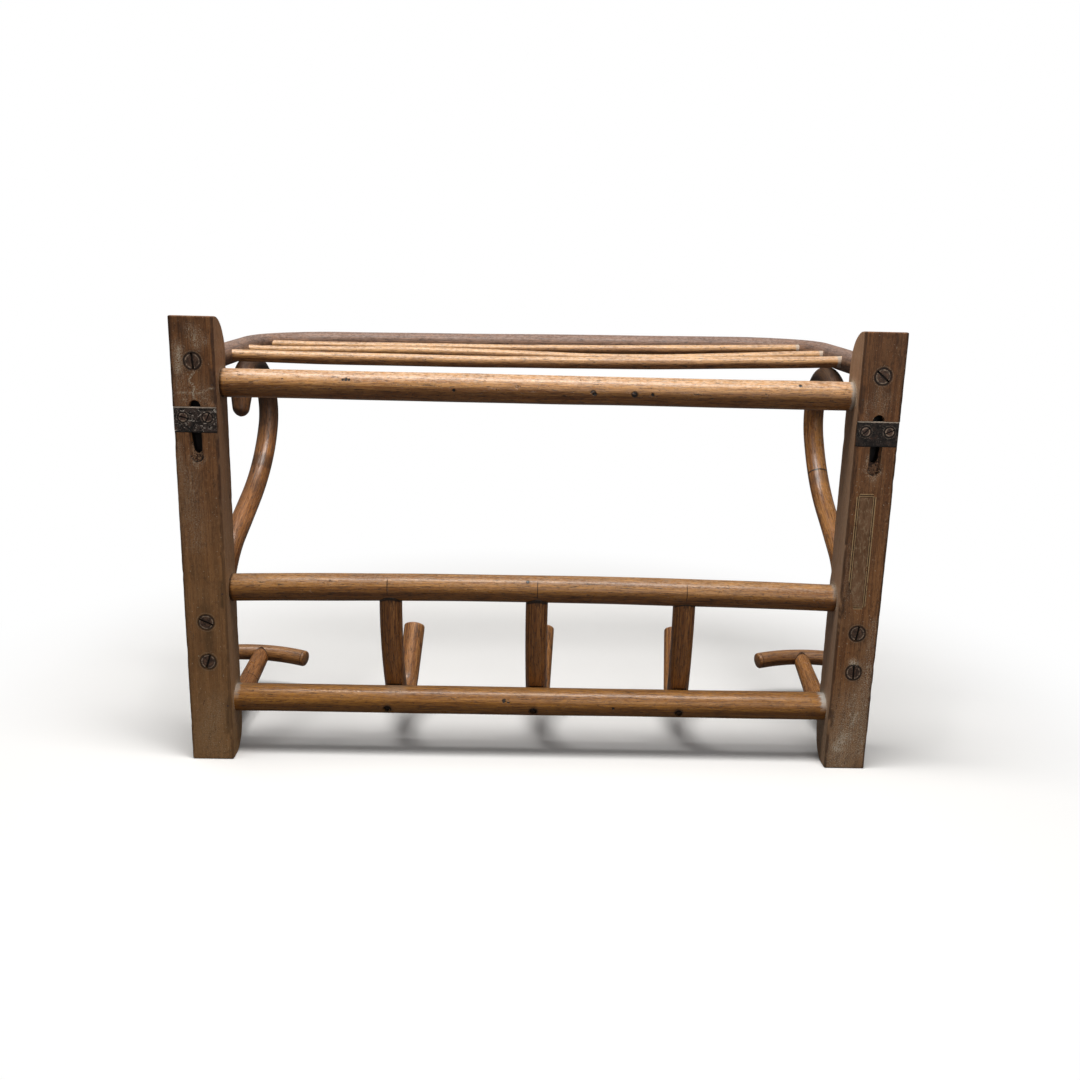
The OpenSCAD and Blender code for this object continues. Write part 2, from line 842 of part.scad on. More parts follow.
module centre_hook() {
  color(bracket_colour) hung() hook(hook_places[1]);
}

module left_hook() {
  color(bracket_colour) hung() hook(hook_places[2]);
}

// Hanging plates
module hanging_plate(side) {
  difference() {
    translate([side * post_middle - plate_width / 2, -plate_thickness, plate_bottom_height])
      cube([plate_width, plate_thickness, plate_height]);
    plate_screw_places() screw_hole(plate_head_diameter, plate_shank_diameter, plate_screw_length);
  }
}

module right_hanging_plate() {
  color(iron_colour) hung() hanging_plate(1);
}

module left_hanging_plate() {
  color(iron_colour) hung() hanging_plate(-1);
}

// Paper label with notched corners, blank, in a shallow bed of its own thickness
module on_left_post() {
  translate([-post_middle + label_offset, 0, label_top_height - label_height / 2])
    rotate([90, 0, 0]) children();
}

module label_bed() {
  margin = 2 * joint_gap;
  translate([-(label_width + margin) / 2, -(label_height + margin) / 2, -1])
    cube([label_width + margin, label_height + margin, label_thickness + 1]);
}

module paper_label() {
  color(paper_colour) hung()
    on_left_post()
      linear_extrude(label_thickness)
        difference() {
          square([label_width, label_height], center = true);
          for (x = sides)
            for (y = sides)
              translate([x * label_width / 2, y * label_height / 2]) circle(r = label_notch);
        }
}

// Fasteners
module loop_screws() {
  color(screw_colour) hung()
    loop_screw_places()
      wood_screw(large_head_diameter, large_shank_diameter, loop_screw_length, $turn);
}

module bracket_screws() {
  color(screw_colour) hung()
    bracket_screw_places()
      wood_screw(large_head_diameter, large_shank_diameter, bracket_screw_length, $turn);
}

module plate_screws() {
  color(screw_colour) hung()
    plate_screw_places()
      wood_screw(plate_head_diameter, plate_shank_diameter, plate_screw_length, $turn);
}

module hook_screws() {
  color(screw_colour) hung()
    hook_screw_places()
      wood_screw(small_head_diameter, small_shank_diameter, hook_screw_length, $turn);
}

module crossbar_screws() {
  color(screw_colour) hung()
    for (side = sides)
      crossbar_screw_place(side)
        wood_screw(small_head_diameter, small_shank_diameter, crossbar_screw_length, crossbar_screw_turn);
}

module curl_screws() {
  color(screw_colour) hung()
    for (side = sides)
      curl_screw_place(side)
        wood_screw(small_head_diameter, small_shank_diameter, curl_screw_length, curl_screw_turn);
}

module rail_pins() {
  color(screw_colour) hung()
    pin_places() cylinder(h = pin_length, d = pin_diameter);
}

right_post();
left_post();
top_rail();
middle_rail();
lower_rail();
shelf_loop();
rear_spindle();
middle_spindle();
front_spindle();
right_bracket();
left_bracket();
right_crossbar();
left_crossbar();
right_hook();
centre_hook();
left_hook();
right_hanging_plate();
left_hanging_plate();
paper_label();
loop_screws();
bracket_screws();
plate_screws();
hook_screws();
crossbar_screws();
curl_screws();
rail_pins();
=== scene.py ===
from math import asin, cos, pi, radians, sin, sqrt, tan

import bmesh
import bpy
import numpy as np
from mathutils import Matrix, Vector, kdtree


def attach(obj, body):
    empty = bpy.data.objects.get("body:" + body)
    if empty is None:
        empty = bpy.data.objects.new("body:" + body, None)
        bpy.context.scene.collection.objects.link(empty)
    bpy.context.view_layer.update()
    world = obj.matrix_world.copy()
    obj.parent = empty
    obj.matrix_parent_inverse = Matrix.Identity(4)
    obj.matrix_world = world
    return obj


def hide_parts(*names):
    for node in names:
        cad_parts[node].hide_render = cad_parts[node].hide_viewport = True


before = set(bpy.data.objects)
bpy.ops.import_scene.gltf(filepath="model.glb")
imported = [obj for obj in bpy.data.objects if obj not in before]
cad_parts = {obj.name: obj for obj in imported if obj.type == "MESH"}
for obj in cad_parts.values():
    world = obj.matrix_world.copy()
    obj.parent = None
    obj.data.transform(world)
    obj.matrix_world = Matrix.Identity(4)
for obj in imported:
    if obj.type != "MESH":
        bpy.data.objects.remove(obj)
scene = bpy.context.scene
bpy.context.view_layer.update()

# ---- sizes (mm, as in the CAD)
HUNG = 341.0                    # height of the origin above the posts' feet
POST_X, POST_W, POST_D, POST_H = 329.0, 42.0, 41.0, 451.0
FOOT_ROUND, HEAD_ROUND = 30.0, 37.0         # rounding of the posts' front corners
SPAN = 308.0                    # half the rails' visible length
TOP = (386.5, 25.0, 14.0)       # height, reach and radius of the rails
MIDDLE = (178.7, 25.0, 14.0)
LOWER = (59.0, 25.5, 14.5)
BOW = 4.0                       # of the middle rail, upwards
SHELF = 409.0
LOOP_X, LOOP_R, LOOP_FRONT, LOOP_BEND = 329.0, 12.0, 305.0, 92.0
TWIST = 0.011                   # the shelf of the old rack hangs lower at its right end
ROD_R = 11.0                    # of the brackets and hooks as made
BRACKET_SCREWS = (149.0, 107.0)
LARGE_HEAD, SMALL_HEAD = 7.5, 4.75
SLOT_TOP, SLOT_LENGTH, SLOT_R = 372.0, 59.0, 5.75
SLOT_END = SLOT_TOP - SLOT_LENGTH + SLOT_R
SLOT_SHALLOW, SLOT_DEEP = 4.5, 15.0          # depth of its ragged part and of the rest
PLATE_H, PLATE_T, PLATE_SCREW_GAP, PLATE_SCREW_H = 24.5, 1.8, 23.2, 355.5
PIN_X, PIN_R = 311.6, 1.2
LABEL_X, LABEL_HALF, LABEL_LOW, LABEL_HIGH = -324.5, 9.75, 175.0, 294.0
HOOKS = (("right_hook", 146.8, 51), ("centre_hook", -3.0, 52), ("left_hook", -155.0, 53))
SCRIBED = (149.0, -3.0, -155.0)             # lines on the middle rail, where the hooks were set out
CLEAR = 0.15                    # gap that swept rods keep from their neighbours


# ---- materials
def lin(v):
    v = v / 255
    return v / 12.92 if v <= 0.04045 else ((v + 0.055) / 1.055) ** 2.4


def rgb(c):
    """A colour written as 0 to 255 screen values."""
    return (lin(c[0]), lin(c[1]), lin(c[2]), 1.0)


def mm(point):
    return tuple(float(c) / 1000 for c in point)


def step(op):
    return lambda self, other=0.0: self.mat.math(op, self, other)


class Val:
    """A value in a material's node tree. Arithmetic on it adds Math nodes."""

    def __init__(self, mat, socket):
        self.mat, self.socket = mat, socket

    __add__, __sub__, __mul__, __abs__ = map(step, ("ADD", "SUBTRACT", "MULTIPLY", "ABSOLUTE"))

    def __rsub__(self, other):
        return self.mat.math("SUBTRACT", other, self)


def z_at(height):
    """Metres over the origin, of a height over the posts' feet in mm."""
    return (height - HUNG) / 1000


class Mat:
    """A material, the nodes that it is built from, and base, its colour so far."""

    def __init__(self, name):
        self.m = bpy.data.materials.new(name)
        self.m.use_nodes = True
        self.t = self.m.node_tree
        self.t.nodes.clear()
        self.out = self.node("OutputMaterial")
        self.b = self.node("BsdfPrincipled")
        self.t.links.new(self.b.outputs[0], self.out.inputs[0])
        self.base = None

    def put(self, socket, value):
        if isinstance(value, Val):
            self.t.links.new(value.socket, socket)
        else:
            socket.default_value = value

    def node(self, kind, inputs=(), **props):
        node = self.t.nodes.new("ShaderNode" + kind)
        for key, value in props.items():
            setattr(node, key, value)
        for key, value in dict(inputs).items():
            self.put(node.inputs[key], value)
        return node

    def value(self, out, kind, inputs=(), **props):
        """One output of a new node."""
        return Val(self, self.node(kind, inputs, **props).outputs[out])

    def math(self, op, a, b=0.0, clamp=False):
        return self.value(0, "Math", {0: a, 1: b}, operation=op, use_clamp=clamp)

    def vector(self, op, a, b=(0, 0, 0), out="Value"):
        return self.value(out, "VectorMath", {0: a, 1: b}, operation=op)

    def attribute(self, name):
        return self.value("Vector", "Attribute", attribute_name=name)

    def pos(self):
        return self.value("Position", "NewGeometry")

    def normal(self):
        return self.value("Normal", "NewGeometry")

    def xyz(self, vec):
        return [Val(self, s) for s in self.node("SeparateXYZ", {0: vec}).outputs]

    def mapped(self, vec, scale=(1, 1, 1), shift=(0, 0, 0)):
        return self.value(0, "Mapping", {"Vector": vec, "Scale": scale, "Location": shift})

    def noise(self, vec, scale, detail, rough, warp=0.0, shift=(0, 0, 0)):
        return self.value("Fac", "TexNoise", {
            "Vector": self.mapped(vec, scale, shift), "Scale": 1.0, "Detail": detail,
            "Roughness": rough, "Distortion": warp})

    def ramp(self, value, lo, hi, a=0.0, b=1.0):
        """From a to b, smoothly, while the value goes from lo to hi."""
        return self.value(0, "MapRange", {"Value": value, "From Min": lo, "From Max": hi,
                                          "To Min": a, "To Max": b},
                          interpolation_type="SMOOTHSTEP")

    def mix(self, fac, a, b, blend="MIX"):
        node = self.node("Mix", data_type="RGBA", blend_type=blend, clamp_factor=True)
        self.put(node.inputs["Factor"], fac)
        for socket, tone in zip([s for s in node.inputs if s.type == "RGBA"], (a, b)):
            self.put(socket, rgb(tone) if isinstance(tone, tuple) else tone)
        return Val(self, [s for s in node.outputs if s.type == "RGBA"][0])

    def lay(self, fac, tone, blend="MIX"):
        """Lays a colour over the colour so far."""
        self.base = self.mix(fac, self.base, tone, blend)

    def tint(self, value, lo, hi, amount, tone, blend="MIX"):
        """The same, where a value has passed from lo to hi."""
        self.lay(self.ramp(value, lo, hi, 0.0, amount), tone, blend)

    def bump(self, height, distance, strength, under=None):
        node = self.node("Bump", {"Strength": strength, "Distance": distance, "Height": height})
        if under is not None:
            self.put(node.inputs["Normal"], under)
        return Val(self, node.outputs[0])

    def hypot(self, a, b):
        return self.math("SQRT", a * a + b * b)

    def near(self, vec, centre, radius, soft):
        """1 inside a ball round a point (mm, row frame), 0 outside."""
        radius = radius / 1000
        gap = self.vector("DISTANCE", vec, mm(centre))
        return self.ramp(gap, radius * (1 + soft), radius * (1 - soft))

    def off_axis(self, vec, centre, way=(0, 1, 0), bend=0.0):
        """Distance from a line along way through centre, or from a ring of radius bend whose
        axis it is (mm, row frame)."""
        v = self.vector("SUBTRACT", vec, mm(centre), "Vector")
        along = self.vector("DOT_PRODUCT", v, tuple(float(c) for c in way))
        whole = self.vector("LENGTH", v)
        flat = self.math("SQRT", self.math("MAXIMUM", whole * whole - along * along, 0.0))
        return self.hypot(flat - bend / 1000, along) if bend else flat

    def finish(self, rough, normal=None, spec=0.5, coat=0.0, coat_rough=0.3, metal=0.0):
        for key, value in (("Base Color", self.base), ("Roughness", rough), ("Normal", normal),
                           ("Specular IOR Level", spec), ("Coat Weight", coat),
                           ("Coat Roughness", coat_rough), ("Metallic", metal)):
            if value is not None:
                self.put(self.b.inputs[key], value)
        return self.m


def rod_wood(name, light, mid, dark, seed, gloss=0.34, dust_and_sheen=0.0, dirt=0.35, flecks=0.6,
             dust_and_sheen_colour=(176, 160, 150), coat=0.3, worn=0.35, under=0.8, residue_and_shade=(),
             nicked=(), scribed=(), seams=()):
    """Varnished bentwood: long grain, short dark pores, rubbed places, dirt and nicks, with dust
    and a painted sheen on the upper side and painted shade on the lower side.

    All sizes are in mm, in the row frame. residue_and_shade lists (run, width, colour, strength,
    lift) of crusts, rings and bands of painted shade along the rod, on its upper side if lift
    isn't 0; nicked lists (x, y, z, radius) of nicks; scribed lists the x of lines cut across the
    middle rail; seams lists (centre, way, bend, radius, width) of the dark lines round rods that
    meet this one. under sets how dark the painted shade on the lower side is."""
    m = Mat("wood_" + name)
    raw, here, up = m.attribute("grain"), m.pos(), m.xyz(m.normal())[2]
    run = m.xyz(raw)[0]
    g = m.mapped(raw, shift=(seed * 1.37, seed * 0.61, seed * 0.23))
    streaks = m.noise(g, (7, 330, 330), 5, 0.62, 0.35)
    fine = m.noise(g, (36, 1300, 1300), 3, 0.6)
    broad = m.noise(g, (6, 34, 34), 4, 0.6, 0.6)
    blotch = m.noise(g, (26, 80, 80), 6, 0.68, 0.8)
    pores = m.noise(g, (120, 1500, 1500), 2, 0.5)
    dashes = m.noise(g, (60, 420, 420), 3, 0.6, 0.25, (3.3, 1.7, 0.9))
    nicks = m.noise(g, (95, 210, 210), 3, 0.65, 0.8, (1.3, 7.7, 2.9))
    rub = m.noise(g, (14, 60, 60), 6, 0.72, 0.4, (4.1, 2.2, 0.4))
    speck = m.noise(g, (260, 420, 420), 4, 0.7)
    fibre = m.noise(g, (85, 1000, 1000), 4, 0.68, 0.3, (6.1, 0.4, 2.0))
    pits = m.noise(g, (210, 520, 520), 5, 0.74, 0.5, (8.2, 5.1, 3.7))
    deep = tuple(int(v * 0.45) for v in dark)
    pale = tuple(min(255, int(v * 1.13 + 8)) for v in light)
    # grain, dirt, pores and rubbed places
    m.base = m.mix(m.ramp(streaks, 0.38, 0.6), mid, light)
    m.tint(broad, 0.44, 0.66, 0.5, light)
    m.tint(blotch, 0.52, 0.7, dirt, dark)
    m.tint(fine, 0.47, 0.66, 0.55, dark)
    pore = m.ramp(pores, 0.6, 0.7, 0, flecks)
    m.lay(pore, deep)
    dash = m.ramp(dashes, 0.665, 0.7, 0, 0.85 * flecks)
    m.lay(dash, deep)
    nick = m.ramp(nicks, 0.72, 0.75)
    m.lay(nick * 0.9, (26, 14, 9))
    m.tint(rub, 0.55, 0.68, worn, pale)
    m.tint(fibre, 0.5, 0.36, 0.5, (118, 96, 74), "MULTIPLY")
    m.tint(fibre, 0.56, 0.7, 0.3, pale)
    m.tint(pits, 0.585, 0.66, 0.85 * flecks, deep)
    m.tint(pits, 0.4, 0.33, 0.45, pale)
    # dust and a painted sheen on the upper side, painted shade on the lower one
    # dust settled on the upper side, which also paints a broad pale highlight along the top
    dust_and_sheen_mask = m.ramp(up, 0.1, 0.9) * m.ramp(speck, 0.4, 0.6, 0.25, 1.1)
    m.lay(dust_and_sheen_mask * dust_and_sheen, dust_and_sheen_colour)
    # painted shade: the lower side darkens as if lit from above; under sets how dark
    underside_shade = m.ramp(up, 0.5, -0.35) * m.ramp(blotch, 0.25, 0.6, 0.8, 1.0)
    m.lay(underside_shade * under, (160, 138, 112), "MULTIPLY")
    rough = m.ramp(blotch, 0.3, 0.75, gloss - 0.08, gloss + 0.16) + dust_and_sheen_mask * (dust_and_sheen * 0.5)
    # single marks
    for place, width, tone, strength, lift in residue_and_shade:
        warp = (speck - 0.5) * (min(width * 1.6, 12.0) / 1000)
        band = m.ramp(abs(run - place / 1000) + warp, width / 1000, width * 0.45 / 1000)
        if lift:
            band = band * m.ramp(up, lift - 0.5, lift + 0.5)
        band = band * strength
        m.lay(band, tone)
        rough = rough + band * 0.3
    for centre, way, bend, radius, width in seams:
        m.tint(m.off_axis(here, centre, way, bend), (radius + width) / 1000,
               (radius + 0.5 * width) / 1000, 0.9, (22, 12, 7))
    for *centre, radius in nicked:
        spot = m.near(here, centre, radius, 0.35) * m.ramp(nicks, 0.3, 0.5)
        m.lay(spot, (22, 12, 8))
        nick = m.math("MAXIMUM", nick, spot)
    for x in scribed:
        line = m.ramp(abs(run - (SPAN + x) / 1000), 0.0006, 0.0002)
        line = line * m.near(here, (x, -11.5, -156.0), 8.5, 0.2)
        m.lay(line * 0.85, (24, 13, 8))
        nick = m.math("MAXIMUM", nick, line * 0.6)
    height = streaks * 0.5 + fine * 0.3 - pore * 0.3 - dash * 0.5
    height = height - m.ramp(pits, 0.56, 0.68) * 0.7 - nick * 1.8
    bump = m.bump(blotch + broad, 0.0016, 0.35, m.bump(height, 0.0004, 0.9))
    return m.finish(rough, bump, 0.4, coat, 0.22)


# ---- meshes
def link(name, data):
    """A new object in the scene."""
    obj = bpy.data.objects.new(name, data)
    scene.collection.objects.link(obj)
    return obj


def norms(rows):
    return np.linalg.norm(rows, axis=1)


def store(mesh, name, values):
    """Keeps a vector for each vertex, for the materials."""
    attr = mesh.attributes.new(name, "FLOAT_VECTOR", "POINT")
    attr.data.foreach_set("vector", np.asarray(values, np.float32).ravel())


def outward(mesh, build=None):
    """Builds on a mesh and turns its faces outwards."""
    bm = bmesh.new()
    bm.from_mesh(mesh)
    if build:
        build(bm)
    bmesh.ops.recalc_face_normals(bm, faces=bm.faces)
    bm.to_mesh(mesh)
    bm.free()


def skin(count, ring):
    """Faces between the rings of points of a long piece."""
    faces = []
    for i in range(0, (count - 1) * ring, ring):
        for j in range(ring):
            k = (j + 1) % ring
            faces.append((i + j, i + k, i + ring + k, i + ring + j))
    return faces


def add(obj, material, node):
    obj.data.materials.clear()
    obj.data.materials.append(material)
    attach(obj, "root")
    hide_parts(node)


def chain(start, heading, steps, pitch=2.5):
    """Points and headings along runs (length,) and bends (radius, angle), as (reach, height)."""
    p, a = np.array(start, float), radians(heading)
    pts, aims = [p], [a]
    for size, *turn in steps:
        if turn:
            turn = radians(turn[0])
            side = 1 if turn > 0 else -1
            count = max(2, round(abs(turn) * size / pitch))
            centre = p + size * side * np.array((-sin(a), cos(a)))
            for i in range(1, count + 1):
                b = a + turn * i / count
                pts.append(centre - size * side * np.array((-sin(b), cos(b))))
                aims.append(b)
            p, a = pts[-1], a + turn
        else:
            count = max(1, round(size / pitch))
            for _ in range(count):
                p = p + np.array((cos(a), sin(a))) * size / count
                pts.append(p)
                aims.append(a)
    return np.array(pts), np.array(aims)


def sweep(name, pts, tangents, across, radius, rings, seed, wobble, caps=(0, 0), fixes=()):
    """A round rod along points (mm, row directions, height from the feet).

    across is the unit vector square to the plane of the rod. radius is a size, or a function
    of the run and the whole length. caps rounds the two ends off, fixes push points off the
    rod's neighbours."""
    run = np.r_[0, np.cumsum(norms(np.diff(pts, axis=0)))]
    end = run[-1]
    radii = np.array([radius(s, end) if callable(radius) else radius for s in run], float)
    phase = np.random.default_rng(seed + 11).uniform(0, 6.28, (4, 3))
    wave, fade = 55, 8          # length of the longest wave, and how it dies out at the ends

    def at(s):
        """Point and direction at a run along the rod."""
        i = min(max(int(np.searchsorted(run, s)) - 1, 0), len(run) - 2)
        f = min(max((s - run[i]) / max(1e-9, run[i + 1] - run[i]), 0.0), 1.0)
        t = tangents[i] * (1 - f) + tangents[i + 1] * f
        return pts[i] * (1 - f) + pts[i + 1] * f, t / np.linalg.norm(t)

    def cap(size, full):
        """Inset and radius of the three rings that round an end off, from its face inwards."""
        if not size:
            return []
        step = 0.35 * size
        return [(0.0, max(0.1, full - size)), (step, full - step * 0.9), (size, full)]

    rows = [(*at(s), s, r) for s, r in cap(caps[0], radii[0])]
    for i, s in enumerate(run):
        if not (caps[0] and s <= caps[0] + 0.3 or caps[1] and s >= end - caps[1] - 0.3):
            rows.append((pts[i], tangents[i] / np.linalg.norm(tangents[i]), s, radii[i]))
    rows += [(*at(end - s), end - s, r) for s, r in cap(caps[1], radii[-1])[::-1]]
    P, T, S, R = (np.array(column) for column in zip(*rows))
    N = np.cross(across, T)
    ang = np.linspace(0, 2 * pi, rings, endpoint=False)
    around = np.cos(ang)[:, None], np.sin(ang)[:, None]
    co, grain = [], []
    for i, s in enumerate(S):
        w = sum(0.5 ** k * np.sin(s / (wave / (k + 1)) + phase[k, 0] + (k % 3) * ang + phase[k, 1])
                for k in range(4))
        r = R[i] + wobble * w * min(1.0, s / fade, (end - s) / fade)
        co.append(P[i] + (around[0] * N[i] + around[1] * np.array(across)) * r[:, None])
        grain.append(np.c_[np.full(rings, s), around[0] * R[i], around[1] * R[i]])
    co = np.vstack(co)
    for fix in fixes:
        co = fix(co)
    n = len(P)
    faces = skin(n, rings)
    for j in range(rings):
        k = (j + 1) % rings
        faces.append((n * rings, k, j))
        faces.append((n * rings + 1, (n - 1) * rings + j, (n - 1) * rings + k))
    co = np.vstack([co, P[0], P[-1]])
    mesh = bpy.data.meshes.new(name)
    mesh.from_pydata(((co - (0, 0, HUNG)) / 1000).tolist(), [], faces)
    store(mesh, "grain", np.vstack([*grain, [S[0], 0, 0], [S[-1], 0, 0]]) / 1000)
    mesh.validate()
    mesh.update()
    mesh.shade_smooth()
    return link(name, mesh)


def push_out(co, axis, centre, level, radius, near=True):
    """Moves points inside a round bar that runs across an axis and Z out to its surface."""
    v = np.c_[co[:, axis] - centre, co[:, 2] - level]
    r = norms(v)
    inside = near & (r < radius)
    v *= (radius / np.maximum(r, 1e-6))[:, None]
    co[inside, axis] = v[inside, 0] + centre
    co[inside, 2] = (v[:, 1] + level)[inside]
    return co


def clear_of_rail(size, bow=0.0):
    height, reach, radius = size
    return lambda co: push_out(co, 1, -reach, height + bow * (1 - (co[:, 0] / SPAN) ** 2),
                               radius + CLEAR)


def turned(pts2, aims, pivot, lean=0.0, toe=0.0, x=0.0):
    """Flat (reach, height) points and headings into the row's directions, turned about a pivot."""
    flat = np.zeros(len(pts2))
    c = np.array((0.0, -pivot[0], pivot[1]))
    turn = np.array(Matrix.Rotation(radians(toe), 3, "Z")
                    @ Matrix.Rotation(radians(lean), 3, "Y"))
    P = (np.c_[flat, -pts2[:, 0], pts2[:, 1]] - c) @ turn.T + c + np.array((x, 0, 0))
    T = np.c_[flat, -np.cos(aims), np.sin(aims)] @ turn.T
    return P, T, turn @ np.array((1.0, 0, 0))


# ---- cutting
def solid(name, build):
    mesh = bpy.data.meshes.new(name)
    outward(mesh, build)
    return link(name, mesh)


def prism(bm, outline, y0, y1):
    """A prism along Y over an outline of (x, z) points in metres."""
    low = [bm.verts.new((x, y0, z)) for x, z in outline]
    high = [bm.verts.new((x, y1, z)) for x, z in outline]
    for i in range(len(outline)):
        k = (i + 1) % len(outline)
        bm.faces.new((low[i], low[k], high[k], high[i]))
    bm.faces.new(low[::-1])
    bm.faces.new(high)


def disc(x, z, radius, count=40):
    angles = [2 * pi * i / count for i in range(count)]
    return [(x + radius * cos(a), z + radius * sin(a)) for a in angles]


def carve(obj, *cutters):
    """Cuts the cutters out of an object and removes them."""
    for cutter in cutters:
        mod = obj.modifiers.new("cut", "BOOLEAN")
        mod.operation, mod.solver, mod.object = "DIFFERENCE", "EXACT", cutter
    graph = bpy.context.evaluated_depsgraph_get()
    mesh = bpy.data.meshes.new_from_object(obj.evaluated_get(graph))
    mesh.name = obj.name
    obj.modifiers.clear()
    old, obj.data = obj.data, mesh
    bpy.data.meshes.remove(old)
    for cutter in cutters:
        data = cutter.data
        bpy.data.objects.remove(cutter)
        bpy.data.meshes.remove(data)


def pierce(obj, spots):
    """Bores round holes (centre, direction into the wood, radius, in metres) in a swept rod."""
    above, depth = 0.006, 0.014
    clearance = 0.0002

    def holes(bm):
        for centre, way, radius in spots:
            turn = way.to_track_quat("Z", "Y").to_matrix().to_4x4()
            turn.translation = centre - way * above
            bmesh.ops.create_cone(bm, cap_ends=True, segments=32, radius1=radius + clearance,
                                  radius2=radius + clearance, depth=depth, matrix=turn)

    old = obj.data
    outward(old)
    grain = np.empty(len(old.vertices) * 3, np.float32)
    old.attributes["grain"].data.foreach_get("vector", grain)
    grain = grain.reshape(-1, 3)
    tree = kdtree.KDTree(len(old.vertices))
    for v in old.vertices:
        tree.insert(v.co, v.index)
    tree.balance()
    carve(obj, solid("bores", holes))
    mesh = obj.data
    if "grain" in mesh.attributes:
        mesh.attributes.remove(mesh.attributes["grain"])
    store(mesh, "grain", [grain[tree.find(v.co)[1]] for v in mesh.vertices])
    mesh.shade_smooth()
    mesh.set_sharp_from_angle(angle=radians(50))


def screw_heads(node):
    """Head centre, direction into the wood and head radius (metres) of the screws of a CAD
    node, which stand apart along X."""
    co = np.array([v.co[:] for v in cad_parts[node].data.vertices])
    co = co[np.argsort(co[:, 0])]
    found = []
    for part in np.split(co, np.nonzero(np.diff(co[:, 0]) > 0.03)[0] + 1):
        middle = (part.max(0) + part.min(0)) / 2
        way = np.linalg.svd(part - part.mean(0), full_matrices=False)[2][0]
        t = (part - middle) @ way
        off = norms(part - middle - t[:, None] * way)
        if off[t > t.max() - 0.001].max() > off[t < t.min() + 0.001].max():
            way, t = -way, -t
        top, tip = part[t < t.min() + 0.0006], part[t > t.max() - 0.0006]
        centre = (top.max(0) + top.min(0)) / 2
        way = Vector((tip.max(0) + tip.min(0)) / 2 - centre).normalized()
        found.append((Vector(centre), way, float(norms(top - centre).max())))
    return found


# ---- wood of the rods
CHALK = (176, 172, 164)
# near black: soot and dark rings, and also painted shade on the bracket crowns and rail ends
SOOT_AND_SHADE = (34, 22, 15)
FAR = 2 * SPAN                  # run of a rail at its other end
HOOK_SCREWS = screw_heads("hook_screws")
# the rails' -X ends carry a chalk crust; the dark band at the +X ends of the top and middle rails
# is painted shade where they meet the post
top_wood = rod_wood(
    "top_rail", (208, 152, 90), (170, 113, 60), (92, 50, 21), 1.0, 0.34, 0.45, 0.4, 0.95,
    (228, 204, 180), residue_and_shade=((0, 5, CHALK, 0.8, 0), (FAR, 3, SOOT_AND_SHADE, 0.7, 0)),
    nicked=((186.5, -12.8, 52.4, 1.7), (189.5, -12.7, 52.2, 1.3), (183.5, -12.7, 52.2, 1.3),
            (186.2, -13.3, 53.8, 1.1), (-254, -15.3, 55.6, 1.8), (21.3, -11.5, 49.4, 1.9),
            (19.5, -11.5, 49.7, 1.3), (-52.2, -11, 44.7, 2.8), (-54, -11, 43.7, 1.9),
            (-92.5, -11.1, 44.1, 3.1), (-110, -11, 44.6, 1.6), (82.5, -11, 44.5, 1.5)))
middle_wood = rod_wood(
    "middle_rail", (191, 134, 68), (150, 97, 45), (80, 43, 16), 2.0, 0.34, 0.3, 0.45, 0.9,
    (206, 178, 150), residue_and_shade=((0, 5, CHALK, 0.6, 0.2), (FAR, 3, SOOT_AND_SHADE, 0.7, 0)),
    nicked=((7, -15.3, -148.2, 1.8),), scribed=SCRIBED)
lower_wood = rod_wood(
    "lower_rail", (188, 129, 54), (156, 100, 36), (88, 49, 15), 3.0, 0.34, 0.12, 0.3, 0.75,
    under=0.6, residue_and_shade=((0, 8, (214, 212, 206), 0.85, 0.3), (FAR, 6, CHALK, 0.7, 0.5),
                        (450, 14, CHALK, 0.3, 0.85)),
    nicked=[(*(c * 1000), r * 1000 + 1.4) for c, way, r in HOOK_SCREWS]
    + [(29, -12.1, -276.6, 2.2), (24.5, -11.9, -277.2, 1.9), (-85, -11, -283, 1.5)])
loop_wood = rod_wood(
    "shelf_loop", (142, 106, 82), (108, 79, 61), (52, 35, 29), 4.0, 0.5, 0.5, 0.7, 1.0,
    (168, 149, 141), 0.1, under=0.7)
spindle_wood = rod_wood(
    "spindles", (216, 164, 106), (176, 125, 76), (96, 58, 28), 5.0, 0.42, 0.42, 0.5, 0.95,
    (232, 208, 184), under=0.9, residue_and_shade=((6, 3, CHALK, 0.6, 0),))
hook_wood = rod_wood(
    "hooks", (198, 136, 76), (142, 89, 44), (50, 26, 12), 8.0, 0.34, 0.12, 0.7, 0.95,
    worn=0.3, under=0.5,
    seams=[((0, -reach, height - HUNG), (1, 0, 0), 0, radius, width)
           for height, reach, radius, width in ((MIDDLE[0] + BOW, *MIDDLE[1:], 2.6),
                                                (*LOWER, 2.2))])


# ---- rails and shelf
def rail(name, size, bow, material, seed, screws=()):
    height, reach, radius = size
    xs = np.linspace(-SPAN, SPAN, 170)
    pts = np.c_[xs, np.full_like(xs, -reach), height + bow * (1 - (xs / SPAN) ** 2)]
    ways = np.c_[np.ones_like(xs), np.zeros_like(xs), -2 * bow * xs / SPAN ** 2]
    obj = sweep("wood_" + name, pts, ways, (0, 1, 0), radius, 44, seed, 0.14)
    if screws:
        pierce(obj, screws)
    add(obj, material, name)


rail("top_rail", TOP, 0.0, top_wood, 1)
rail("middle_rail", MIDDLE, BOW, middle_wood, 2)
rail("lower_rail", LOWER, 0.0, lower_wood, 3, HOOK_SCREWS)

# Shelf loop, in the level plane: chain() gives (side, reach) here
arm = (LOOP_FRONT - LOOP_BEND - POST_D,)
pts, aims = chain((LOOP_X, POST_D), 90, [arm, (LOOP_BEND, 90), (2 * (LOOP_X - LOOP_BEND),),
                                         (LOOP_BEND, 90), arm], 3.0)
pts = np.c_[pts[:, 0], -pts[:, 1], SHELF - TWIST * pts[:, 0]]
ways = np.c_[np.cos(aims), -np.sin(aims), np.zeros(len(aims))]
loop = sweep("wood_shelf_loop", pts, ways, (0, 0, 1), LOOP_R - 0.25, 40, 4, 0.14)
add(loop, loop_wood, "shelf_loop")


